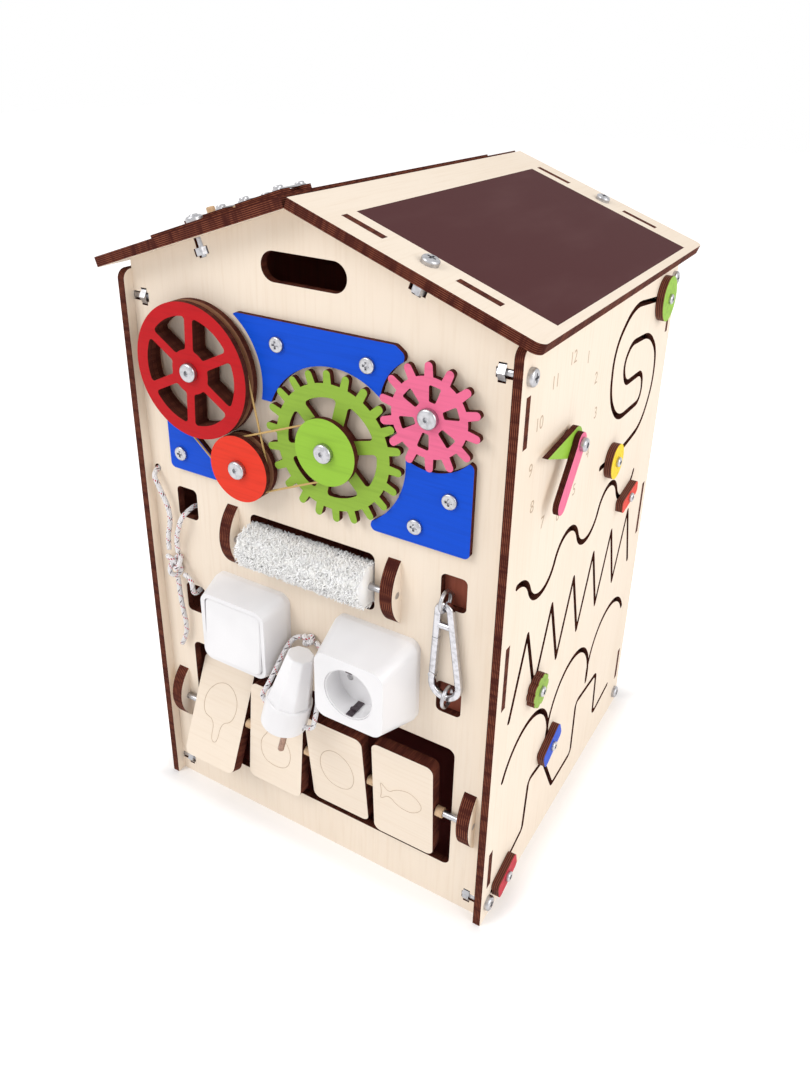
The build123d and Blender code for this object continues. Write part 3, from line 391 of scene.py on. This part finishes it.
def darker(colour, share):
    return tuple(share * value for value in colour)


# Plywood, painted or bare
def bare_wood(shader, along, across, depth):
    """Fine birch fibre and slow clouds along the grain; returns the colour and the fibre's height."""
    fibre_place = shader.vector(shader.times(along, fibre_stretch_share), across, depth)
    fibre = shader.noise(fibre_place, fibre_noise)
    cloud_place = shader.vector(shader.times(along, cloud_stretch_share), across, depth)
    cloud = shader.noise(cloud_place, cloud_noise)
    fibre_tone = shader.times(shader.ramp(fibre, fibre_shares), fibre_tone_share)
    cloud_tone = shader.times(shader.ramp(cloud, cloud_shares), cloud_tone_share)
    wood = shader.mix(fibre_tone, birch, birch_dark)
    return shader.mix(cloud_tone, wood, birch_dark), fibre


def burnt_edge(shader, along, across, depth, layer):
    """Laser-cut edge: nearly black, with the thin lighter layers showing through unevenly."""
    from_middle = shader.size(shader.minus(shader.saw(depth, layer), 0.5))
    light_layer = shader.ramp(from_middle, light_layer_shares)
    scorch_place = shader.vector(along, across, shader.times(depth, scorch_stretch_share))
    scorch = shader.noise(scorch_place, scorch_noise)
    share = shader.times(light_layer, shader.ramp(scorch, scorch_shares))
    return shader.mix(share, char, char_light)


def past_walls(shader, half_width, half_depth):
    """How far a place lies outside an upright box round the house's middle, below 0 inside it."""
    depth = shader.minus(shader.part(shader.place, "Y"), shift_y)
    past_x = shader.minus(shader.size(shader.part(shader.place, "X")), half_width)
    past_y = shader.minus(shader.size(depth), half_depth)
    return shader.math("MAXIMUM", past_x, past_y)


def inside_share(shader):
    """1 within the walls on a face that isn't turned up, where painted shade goes; 0 elsewhere."""
    within = shader.math("LESS_THAN", past_walls(shader, inner_half_width, inner_half_depth), 0.0)
    upward = shader.part(shader.normal, "Z")
    return shader.times(within, shader.math("LESS_THAN", upward, turned_up_share))


def sheet(name, normal, grain, paint=None, paint_limit=None, layer=layer_thick, shaded_inside=True):
    """Laser-cut birch sheet whose faces look along the normal, with painted shade on its faces inside
    the house if asked for. Paint covers the outward faces. Where a limit along the normal is given,
    it covers them down to that, and the faces below get painted shade in dark brown."""
    shader = Shader(name)
    facing = shader.dot(shader.normal, normal)
    is_face = shader.ramp(shader.size(facing), face_shares)
    depth = shader.dot(shader.place, normal)
    along = shader.dot(shader.place, grain)
    across = shader.dot(shader.place, cross(normal, grain))
    wood, fibre = bare_wood(shader, along, across, depth)
    edge = burnt_edge(shader, along, across, depth, layer)
    gloss = bare_gloss
    # Painted shade: faces inside the house are darkened to dark brown
    if shaded_inside:
        painted_inside_shade = shader.mix(fibre, inside_shade, darker(inside_shade, inside_shade_dark_share))
        wood = shader.mix(inside_share(shader), wood, painted_inside_shade)
    if paint:
        worn = shader.times(shader.ramp(fibre, worn_shares), worn_tone_share)
        painted = shader.mix(worn, paint, darker(paint, worn_dark_share))
        outward = shader.ramp(facing, face_shares)
        # Painted shade: faces below the limit, in the grooves between layers, turn dark brown
        if paint_limit is not None:
            above = shader.ramp(depth, (paint_limit, paint_limit + 2 * border))
            outward = shader.times(outward, above)
            wood = shader.mix(fibre, groove_shade, darker(groove_shade, groove_shade_dark_share))
        wood = shader.mix(outward, wood, painted)
        edge = shader.mix(soot_share, edge, char)
        gloss = painted_gloss
    shader.colour(shader.mix(is_face, edge, wood))
    shader.rough(shader.minus(edge_rough, shader.times(is_face, gloss)))
    shader.specular(wood_specular)
    shader.bump(fibre, fibre_relief)
    return shader.material


def painted_sheet(node, paint):
    """Paint on the front face of a flat node that lies parallel to the front wall, with painted shade
    on the faces behind it.
    """
    front_face = -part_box(node)[0].y
    return sheet(node + "_paint", out_front, along_x, paint, front_face - paint_depth)


# Plastic, metal and the other surfaces
def moulded(name, colour, roughness):
    """Moulded plastic with a very fine orange-peel surface."""
    shader = Shader(name, roughness)
    peel = shader.noise(shader.place, peel_noise)
    tint = shader.ramp(shader.noise(shader.place, tint_noise), plastic_tint_shares)
    shader.colour(shader.mix(tint, colour, darker(colour, plastic_dark_share)))
    shader.bump(peel, peel_relief)
    return shader.material


def metal(name, colour, roughness):
    """Plated steel with faint smears."""
    shader = Shader(name, roughness, metallic=1.0)
    smear = shader.noise(shader.place, smear_noise)
    tone = shader.ramp(smear, smear_shares)
    shader.colour(shader.mix(tone, colour, darker(colour, metal_dark_share)))
    shader.rough(shader.math("ADD", shader.times(smear, smear_rough), roughness - smear_gloss))
    shader.bump(smear, smear_relief)
    return shader.material


def chalk_surface():
    """Matt board paint with faint wiped chalk."""
    shader = Shader("chalk_paint", chalk_rough)
    grit = shader.noise(shader.place, grit_noise)
    x, y, z = (shader.part(shader.place, axis) for axis in "XYZ")
    wipe = shader.noise(shader.vector(x, shader.times(y, wipe_stretch_share), z), wipe_noise)
    dusty = shader.times(shader.ramp(wipe, wipe_shares), chalk_tone_share)
    shader.colour(shader.mix(dusty, chalk_black, chalk_dust))
    shader.specular(chalk_specular)
    shader.bump(grit, grit_relief)
    return shader.material


def slider_surface(name, paint):
    """A slider's two layers and its screw, told apart by how far out of the wall they are."""
    shader = Shader(name)
    out = shader.minus(shader.part(shader.place, "X"), side_x)
    painted = shader.ramp(out, (slider_face_start, slider_face_start + border))
    screw = shader.ramp(out, (slider_screw_start + border, slider_screw_start + 2 * border))
    facing = shader.ramp(shader.size(shader.part(shader.normal, "X")), slider_facing_shares)
    grain = shader.noise(shader.place, slider_noise)
    seam = shader.ramp(shader.saw(out, slider_layer_thick), slider_seam_shares)
    bare = shader.mix(facing, shader.mix(seam, char, char_light), birch)
    tone = shader.ramp(grain, slider_grain_shares)
    colour = shader.mix(tone, paint, darker(paint, slider_dark_share))
    sooty = shader.times(shader.minus(1.0, facing), slider_soot_share)
    colour = shader.mix(painted, bare, shader.mix(sooty, colour, char))
    shader.colour(shader.mix(screw, colour, zinc))
    shader.feed(shader.surface.inputs["Metallic"], screw)
    shader.rough(shader.minus(slider_rough, shader.times(screw, screw_gloss)))
    shader.specular(slider_specular)
    shader.bump(grain, slider_relief)
    return shader.material


def fleece_surface():
    """White lambswool with light under its surface."""
    shader = Shader("roller_fleece", fleece_rough)
    tuft = shader.ramp(shader.noise(shader.place, tuft_noise), tuft_shares)
    shader.colour(shader.mix(tuft, fleece_shade, fleece_white))
    shader.specular(fleece_specular)
    shader.surface.inputs["Sheen Weight"].default_value = 1.0
    shader.surface.inputs["Sheen Roughness"].default_value = sheen_rough
    shader.surface.inputs["Subsurface Weight"].default_value = 1.0
    shader.surface.inputs["Subsurface Radius"].default_value = (fleece_glow_depth,) * 3
    return shader.material


def lace_surface():
    """White braid with red and black flecks that wind round it; needs lengths in metres as U."""
    shader = Shader("lace_braid", lace_rough)
    lengthways = shader.coordinates.outputs["UV"]
    along = shader.times(shader.part(lengthways, "X"), coils)
    around = shader.part(lengthways, "Y")
    coil = shader.math("ADD", along, around)
    counter = shader.minus(along, around)
    red_line = shader.ramp(shader.wave(coil), red_fleck_shares)
    black_line = shader.ramp(shader.wave(counter), black_fleck_shares)
    strands = shader.wave(shader.math("ADD", coil, around), strands_a_coil)
    breaks = shader.wave(shader.minus(counter, around), breaks_a_coil)
    dash = shader.ramp(breaks, dash_shares)
    colour = shader.mix(shader.times(red_line, dash), lace_white, fleck_red)
    shader.colour(shader.mix(shader.times(black_line, dash), colour, fleck_black))
    shader.bump(shader.math("ADD", strands, breaks), strand_relief)
    return shader.material


def band_surface():
    """Ribbed elastic."""
    shader = Shader("elastic", band_rough)
    ribs = shader.noise(shader.place, rib_noise)
    shader.colour(shader.mix(ribs, band_yellow, darker(band_yellow, band_dark_share)))
    shader.bump(ribs, rib_relief)
    return shader.material


def engraving_surface():
    """Wood burnt light brown."""
    shader = Shader("engraving", engraving_rough)
    burn = shader.noise(shader.place, burn_noise)
    shader.colour(shader.mix(burn, engraved_dark, engraved_light))
    return shader.material


def turned_surface():
    """Turned hardwood, oiled."""
    shader = Shader("turned_wood")
    grain = shader.noise(shader.place, turned_noise)
    tone = shader.ramp(grain, turned_shares)
    shader.colour(shader.mix(tone, turned_wood, darker(turned_wood, turned_dark_share)))
    shader.specular(turned_specular)
    shader.bump(grain, turned_relief)
    return shader.material


def paint_nodes():
    """Every carried-over CAD node gets its surface."""
    right_slope = (sin(roof_slope), 0, cos(roof_slope))
    left_slope = (-sin(roof_slope), 0, cos(roof_slope))
    surfaces = {
        "front_wall": sheet("front_ply", out_front, along_z),
        "back_wall": sheet("back_ply", along_y, along_z),
        "left_wall": sheet("left_ply", out_left, along_z),
        "right_wall": sheet("right_ply", along_x, along_z),
        "eye_backing": sheet("backing_ply", along_y, along_z),
        "moon_brackets": sheet("moon_ply", along_x, along_z, layer=moon_layer_thick),
        "hour_hand": sheet("hour_ply", along_x, along_y, light_green),
        "minute_hand": sheet("minute_ply", along_x, along_z, pink),
        "chalkboard": chalk_surface(),
        "elastic_bands": band_surface(),
        "earth_clips": metal("clip_steel", dark_steel, clip_rough),
        "plug_pins": metal("pin_brass", brass, brass_rough),
        "slider_green": slider_surface("green_slider", light_green),
        "slider_yellow": slider_surface("yellow_slider", yellow),
        "slider_bar": slider_surface("bar_slider", orange),
        "slider_flower": slider_surface("flower_slider", green),
        "slider_blue": slider_surface("blue_slider", blue),
        "slider_crimson": slider_surface("crimson_slider", crimson),
    }
    shared = [
        (sheet("right_roof_ply", right_slope, along_y), ("roof_deck_right", "roof_frame_right")),
        (sheet("left_roof_ply", left_slope, along_y),
         ("roof_deck_left", "roof_cover_left", "latch_board")),
        (sheet("core_ply", out_front, along_x, layer=core_layer_thick),
         ("drive_wheel_core", "idler_core", "axle_spacers")),
        (metal("zinc_plate", zinc, zinc_rough),
         ("frame_fasteners", "panel_screws", "axle_bolts", "latch_plates", "rods", "screw_eyes")),
        (metal("nickel_plate", nickel, nickel_rough), ("snap_hook", "snap_gate")),
        (moulded("white_plastic", white_plastic, plastic_rough),
         ("switch_base", "switch_rocker", "socket_base", "socket_insert", "plug_body")),
        (turned_surface(), ("latch_bolt", "card_spacers")),
    ]
    for material, nodes in shared:
        for name in nodes:
            surfaces[name] = material
    paints = {
        "plate_top": blue, "plate_left": blue, "plate_right": blue,
        "drive_wheel_cheeks": red, "idler_cheeks": orange,
        "large_gear": green, "large_gear_pulley": light_green, "small_gear": pink,
    }
    for name, paint in paints.items():
        surfaces[name] = painted_sheet(name, paint)
    for index, tilt in enumerate(card_tilts):
        normal = (0, -cos(radians(tilt)), -sin(radians(tilt)))
        number = str(index + 1)
        surfaces["flip_card_" + number] = sheet("card_ply_" + number, normal, along_x, shaded_inside=False)
    for name, material in surfaces.items():
        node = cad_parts[name]
        node.data.materials.clear()
        node.data.materials.append(material)


# Cords
def at_front(point):
    """Point given as X, distance out of the front wall, and Z."""
    return Vector((point[0], front_y - point[1], point[2]))


def smooth_line(points):
    """Points along the smooth curve that a route's control points steer."""
    curve = bpy.data.curves.new("route", "CURVE")
    curve.dimensions = "3D"
    curve.resolution_u = lace_steps
    spline = curve.splines.new("NURBS")
    spline.points.add(len(points) - 1)
    for control, point in zip(spline.points, points):
        control.co = (*point, 1)
    spline.order_u = 3
    spline.use_endpoint_u = True
    holder = bpy.data.objects.new("route", curve)
    bpy.context.collection.objects.link(holder)
    mesh = bpy.data.meshes.new_from_object(holder)
    line = [vertex.co.copy() for vertex in mesh.vertices]
    bpy.data.objects.remove(holder)
    bpy.data.meshes.remove(mesh)
    return line


def add_object(name, mesh, material):
    """Put a mesh into the scene, shaded smooth."""
    mesh.materials.append(material)
    for face in mesh.polygons:
        face.use_smooth = True
    piece = bpy.data.objects.new(name, mesh)
    bpy.context.collection.objects.link(piece)
    return piece


def finished_mesh(name, mesh):
    """Mesh data from the working mesh, which is freed."""
    data = bpy.data.meshes.new(name)
    mesh.to_mesh(data)
    mesh.free()
    return data


def tube_mesh(name, line, closed=False):
    """Lace along a line, with metres along it as U and one turn round it as V."""
    mesh = bmesh.new()
    uv = mesh.loops.layers.uv.new("UVMap")
    count = len(line)
    heading = (line[1] - line[0]).normalized()
    normal = heading.orthogonal().normalized()
    rings = []
    lengths = [0.0]
    for index, point in enumerate(line):
        before = line[index - 1] if index or closed else line[0]
        after = line[(index + 1) % count] if index < count - 1 or closed else line[-1]
        heading = (after - before).normalized()
        normal = (normal - heading * normal.dot(heading)).normalized()
        side = heading.cross(normal)
        ring = []
        for step in range(lace_sides):
            angle = tau * step / lace_sides
            ring.append(mesh.verts.new(point + lace_radius * (cos(angle) * normal + sin(angle) * side)))
        rings.append(ring)
        lengths.append(lengths[-1] + (after - point).length)
    last = count if closed else count - 1
    for index in range(last):
        first, second = rings[index], rings[(index + 1) % count]
        for step in range(lace_sides):
            following = (step + 1) % lace_sides
            face = mesh.faces.new((first[step], first[following], second[following], second[step]))
            corners = ((index, step), (index, step + 1), (index + 1, step + 1), (index + 1, step))
            for loop, (row, turn) in zip(face.loops, corners):
                loop[uv].uv = (lengths[row], turn / lace_sides)
    if not closed:
        mesh.faces.new(list(reversed(rings[0])))
        mesh.faces.new(rings[-1])
    bmesh.ops.recalc_face_normals(mesh, faces=mesh.faces)
    return finished_mesh(name, mesh)


def lace(name, points, material, replaced):
    """A stretch of lace along its route."""
    line = smooth_line([at_front(point) for point in points])
    piece = add_object(name, tube_mesh(name, line), material)
    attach(piece, "house")
    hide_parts(replaced)


def knot_line(centre, half_sizes):
    """Overhand knot pulled fairly tight, as a closed line inside the given half sizes."""
    width, depth, height = half_sizes
    reach = 3.0
    line = []
    for step in range(knot_steps):
        t = tau * step / knot_steps
        across = (sin(t) + 2 * sin(2 * t)) / reach
        up = (cos(t) - 2 * cos(2 * t)) / reach
        out = -sin(3 * t)
        line.append(centre + Vector((width * across, depth * out, height * up)))
    return line


def knot(name, centre, size, material, replaced):
    """Knot of lace inside a box of the given size."""
    half_sizes = [max(value / 2 - lace_radius, lace_radius / 4) for value in size]
    line = knot_line(at_front(centre), half_sizes)
    piece = add_object(name, tube_mesh(name, line, closed=True), material)
    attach(piece, "house")
    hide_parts(replaced)


def make_laces():
    """The plug's cord, the lace through the left windows, and their knots. Points and knots are
    given as X, distance out of the front wall, and Z; a knot's size is across, out and up."""
    plug_route = [
        (-0.0076, 0.0043, 0.2006), (-0.0124, 0.0054, 0.2002), (-0.016, 0.012, 0.1925),
        (-0.0186, 0.0205, 0.1795), (-0.0224, 0.027, 0.1655), (-0.0305, 0.0295, 0.1501),
        (0.0186, 0.0295, 0.1396), (0.0205, 0.0265, 0.154), (0.020, 0.0215, 0.169),
        (0.018, 0.0145, 0.1825), (0.015, 0.0083, 0.1925), (0.011, 0.005, 0.1988),
        (0.0056, 0.0043, 0.2006),
    ]
    upper_route = [
        (-0.1433, -0.0057, 0.3032), (-0.1431, 0.0066, 0.3028), (-0.1368, 0.0072, 0.291),
        (-0.131, 0.0056, 0.276), (-0.1304, 0.0048, 0.262), (-0.1346, 0.0056, 0.248),
        (-0.1346, 0.0053, 0.2363),
    ]
    loop_route = [
        (-0.1254, 0.0053, 0.2363), (-0.1254, 0.006, 0.248), (-0.1206, 0.007, 0.260),
        (-0.115, 0.0074, 0.273), (-0.114, -0.014, 0.277), (-0.115, -0.0155, 0.240),
        (-0.1144, -0.014, 0.204), (-0.1122, 0.0064, 0.199), (-0.112, 0.0064, 0.217),
        (-0.1207, 0.0053, 0.217),
    ]
    tail_route = [
        (-0.128, 0.0053, 0.2117), (-0.128, 0.005, 0.198), (-0.126, 0.0056, 0.184),
        (-0.1246, 0.0046, 0.170), (-0.126, 0.0038, 0.157), (-0.1318, 0.0042, 0.146),
    ]
    knots = [
        ("knot_lace", (-0.130, 0.0053, 0.224), (0.018, 0.010, 0.024), "lace_knots"),
        ("knot_lace_back", (-0.1433, -0.0105, 0.3032), (0.011, 0.009, 0.011), "lace_knots"),
        ("knot_plug", (-0.001, 0.0043, 0.2006), (0.012, 0.008, 0.011), "plug_knot"),
        ("knot_plug_back", (-0.001, -0.0108, 0.2006), (0.011, 0.009, 0.011), "plug_knot"),
    ]
    braid = lace_surface()
    lace("lace_plug", plug_route, braid, "plug_cord")
    lace("lace_top", upper_route, braid, "lace_upper")
    lace("lace_round", loop_route, braid, "lace_loop")
    lace("lace_end", tail_route, braid, "lace_tail")
    for name, centre, size, replaced in knots:
        knot(name, centre, size, braid, replaced)


# Roller
def make_fleece():
    """Lambswool sleeve: a lumpy core under short crimped locks."""
    mesh = bmesh.new()
    rings = []
    for row in range(core_rings + 1):
        x = -roller_half + 2 * roller_half * row / core_rings
        ring = []
        for step in range(core_sides):
            angle = tau * step / core_sides
            lump = lump_share * sin(lumps_round * angle + lump_twist * x) * sin(lump_pitch * x)
            lump = 1 + lump + random.uniform(-uneven_share, uneven_share)
            radius = roller_radius * core_share * lump
            ring.append(mesh.verts.new((x, radius * cos(angle), radius * sin(angle))))
        rings.append(ring)
    for near, far in zip(rings, rings[1:]):
        for step in range(core_sides):
            following = (step + 1) % core_sides
            mesh.faces.new((near[step], near[following], far[following], far[step]))
    mesh.faces.new(rings[0])
    mesh.faces.new(list(reversed(rings[-1])))
    for _ in range(lock_count):
        add_lock(mesh, core_share * roller_radius)
    bmesh.ops.recalc_face_normals(mesh, faces=mesh.faces)
    bmesh.ops.translate(mesh, verts=mesh.verts, vec=at_front((0, roller_out, roller_z)))
    piece = add_object("roller_fleece", finished_mesh("roller_fleece", mesh), fleece_surface())
    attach(piece, "roller")
    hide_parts("roller")


def add_lock(mesh, root_radius):
    """One curled lock of wool: a bent spike somewhere on the sleeve."""
    x = random.uniform(-roller_half, roller_half)
    angle = random.uniform(0, tau)
    lean_x = random.uniform(-lock_lean, lock_lean)
    lean_angle = random.uniform(-lock_lean_angle, lock_lean_angle)
    curl = random.uniform(0, tau)
    tall = random.uniform(*lock_tall_shares) * roller_radius - root_radius
    wide = random.uniform(*lock_wide)

    def middle(share):
        """Place along the sleeve, turn round it and radius, at a share of the lock's height."""
        wound = curl + curl_winds * share
        across = x + lean_x * share ** 2 + curl_reach * sin(wound)
        turn = angle + lean_angle * share ** 2 + curl_angle * cos(wound)
        return min(max(across, -roller_half), roller_half), turn, root_radius + tall * share

    rings = []
    for span in range(lock_spans):
        share = span / lock_spans
        across, turn, radius = middle(share)
        width = wide * (1 - share) ** taper_power
        ring = []
        for corner in range(lock_sides):
            corner_turn = turn + width * cos(tau * corner / lock_sides) / radius
            place = across + width * sin(tau * corner / lock_sides)
            ring.append(mesh.verts.new((place, radius * cos(corner_turn), radius * sin(corner_turn))))
        rings.append(ring)
    across, turn, radius = middle(1)
    tip = mesh.verts.new((across, radius * cos(turn), radius * sin(turn)))
    for low, high in zip(rings, rings[1:]):
        for corner in range(lock_sides):
            following = (corner + 1) % lock_sides
            mesh.faces.new((low[corner], low[following], high[following], high[corner]))
    for corner in range(lock_sides):
        mesh.faces.new((rings[-1][corner], rings[-1][(corner + 1) % lock_sides], tip))


# Engraving
def card_placement(index):
    """Matrix from a card's face to the frame: X across the card, Y up it."""
    tilt = radians(card_tilts[index])
    centre = at_front((card_centres[index], card_axis_out, card_axis_z))
    turn = Matrix.Rotation(pi / 2 + tilt, 4, "X")
    return Matrix.Translation(centre) @ turn @ Matrix.Translation((0, 0, card_half_thick))


def engrave_card(index, outline, material):
    """Thin burnt line on a card: a closed outline in the plane of its face."""
    placement = card_placement(index)
    name = "card_picture_" + str(index + 1)
    curve = bpy.data.curves.new(name, "CURVE")
    curve.dimensions = "3D"
    curve.bevel_depth = picture_line_radius
    spline = curve.splines.new("NURBS")
    spline.points.add(len(outline) - 1)
    for control, (u, v) in zip(spline.points, outline):
        control.co = (*(placement @ Vector((u, v, 0))), 1)
    spline.order_u = 3
    spline.use_cyclic_u = True
    spline.use_endpoint_u = False
    piece = bpy.data.objects.new(name, curve)
    piece.data.materials.append(material)
    bpy.context.collection.objects.link(piece)
    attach(piece, "card_" + str(index + 1))


def engrave_cards(material):
    """Plain picture-book outlines: a tree, a pear, an egg and a fish."""
    tree = [
        (-0.003, -0.026), (-0.003, -0.008), (-0.016, -0.006), (-0.018, 0.010), (-0.008, 0.024),
        (0.006, 0.026), (0.017, 0.014), (0.015, -0.004), (0.004, -0.008), (0.004, -0.026),
    ]
    pear = [
        (0, 0.022), (0.008, 0.016), (0.007, 0.006), (0.016, -0.006), (0.013, -0.022),
        (0, -0.026), (-0.013, -0.022), (-0.016, -0.006), (-0.007, 0.006), (-0.008, 0.016),
    ]
    egg = [
        (0, 0.022), (0.013, 0.014), (0.017, -0.004), (0.009, -0.020), (-0.009, -0.020),
        (-0.017, -0.004), (-0.013, 0.014),
    ]
    fish = [
        (0.019, 0.001), (0.008, 0.012), (-0.006, 0.008), (-0.012, 0.001), (-0.020, 0.010),
        (-0.018, 0), (-0.020, -0.010), (-0.012, -0.001), (-0.004, -0.009), (0.009, -0.010),
    ]
    for index, outline in enumerate((tree, pear, egg, fish)):
        engrave_card(index, outline, material)


def engrave_dial(material):
    """Clock numbers round the axle of the hands, facing out of the right wall."""
    for hour in range(1, hours + 1):
        angle = pi / 2 - tau * hour / hours
        y = clock_centre[0] + shift_y + dial_radius * cos(angle)
        z = clock_centre[1] + dial_radius * sin(angle)
        digits = bpy.data.curves.new("hour_" + str(hour), "FONT")
        digits.body = str(hour)
        digits.size = digit_height
        digits.align_x = "CENTER"
        digits.align_y = "CENTER"
        digits.extrude = digit_relief
        digits.materials.append(material)
        piece = bpy.data.objects.new("dial_" + str(hour), digits)
        piece.matrix_world = Matrix(((0, 0, 1, side_x), (1, 0, 0, y), (0, 1, 0, z), (0, 0, 0, 1)))
        bpy.context.collection.objects.link(piece)
        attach(piece, "house")


# Room, light and camera
def make_floor():
    """White floor that glows a little round the house, and dark brown painted shade on the ground
    within its walls.
    """
    mesh = bmesh.new()
    bmesh.ops.create_grid(mesh, x_segments=1, y_segments=1, size=floor_reach)
    shader = Shader("floor_white", floor_rough)
    past_inner_faces = past_walls(shader, inner_half_width, inner_half_depth)
    outside = shader.math("GREATER_THAN", past_inner_faces, 0.0)
    # Painted shade: the ground within the walls is dark brown
    shader.colour(shader.mix(outside, painted_shade_ground, white_ground))
    clear = shader.ramp(past_walls(shader, side_x, side_x), (0.0, glow_fade))
    glow = shader.times(shader.times(seen_share(shader.tree), floor_glow), clear)
    shader.feed(shader.surface.inputs["Emission Color"], glow_colour)
    shader.feed(shader.surface.inputs["Emission Strength"], glow)
    add_object("floor", finished_mesh("floor", mesh), shader.material)


def seen_share(tree):
    """1 for rays from the camera, off metal and through glass, 0 for the light that falls on things."""
    rays = tree.nodes.new("ShaderNodeLightPath")
    share = rays.outputs["Is Camera Ray"]
    for name in ("Is Glossy Ray", "Is Transmission Ray"):
        larger = tree.nodes.new("ShaderNodeMath")
        larger.operation = "MAXIMUM"
        tree.links.new(share, larger.inputs[0])
        tree.links.new(rays.outputs[name], larger.inputs[1])
        share = larger.outputs[0]
    return share


def area_light(name, place, size, power):
    """Square lamp that looks at the middle of the house."""
    light = bpy.data.lights.new(name, "AREA")
    light.size = size
    light.energy = power
    lamp = bpy.data.objects.new(name, light)
    lamp.location = place
    heading = Vector(light_target) - Vector(place)
    lamp.rotation_euler = heading.to_track_quat("-Z", "Y").to_euler()
    bpy.context.collection.objects.link(lamp)


def make_light():
    """Two soft lamps and an even sky, which the camera sees as white."""
    area_light("key", key_place, key_size, key_power)
    area_light("side", side_place, side_size, side_power)
    world = bpy.data.worlds.new("studio")
    world.use_nodes = True
    tree = world.node_tree
    background = tree.nodes["Background"]
    background.inputs["Color"].default_value = (*sky_colour, 1)
    strength = tree.nodes.new("ShaderNodeMapRange")
    strength.inputs["To Min"].default_value = sky_light
    strength.inputs["To Max"].default_value = 1.0
    tree.links.new(seen_share(tree), strength.inputs["Value"])
    tree.links.new(strength.outputs["Result"], background.inputs["Strength"])
    bpy.context.scene.world = world
    bpy.context.scene.view_settings.view_transform = "Standard"


def make_camera():
    """Camera at the photograph's place."""
    lens = bpy.data.cameras.new("photo")
    lens.lens = camera_lens
    lens.sensor_width = camera_sensor
    lens.shift_x, lens.shift_y = camera_shift
    camera = bpy.data.objects.new("photo", lens)
    camera.location = camera_place
    camera.rotation_euler = [radians(value) for value in camera_turn]
    bpy.context.collection.objects.link(camera)
    bpy.context.scene.camera = camera


make_camera()
make_laces()
paint_nodes()
make_fleece()
burnt_line = engraving_surface()
engrave_cards(burnt_line)
engrave_dial(burnt_line)
make_floor()
make_light()
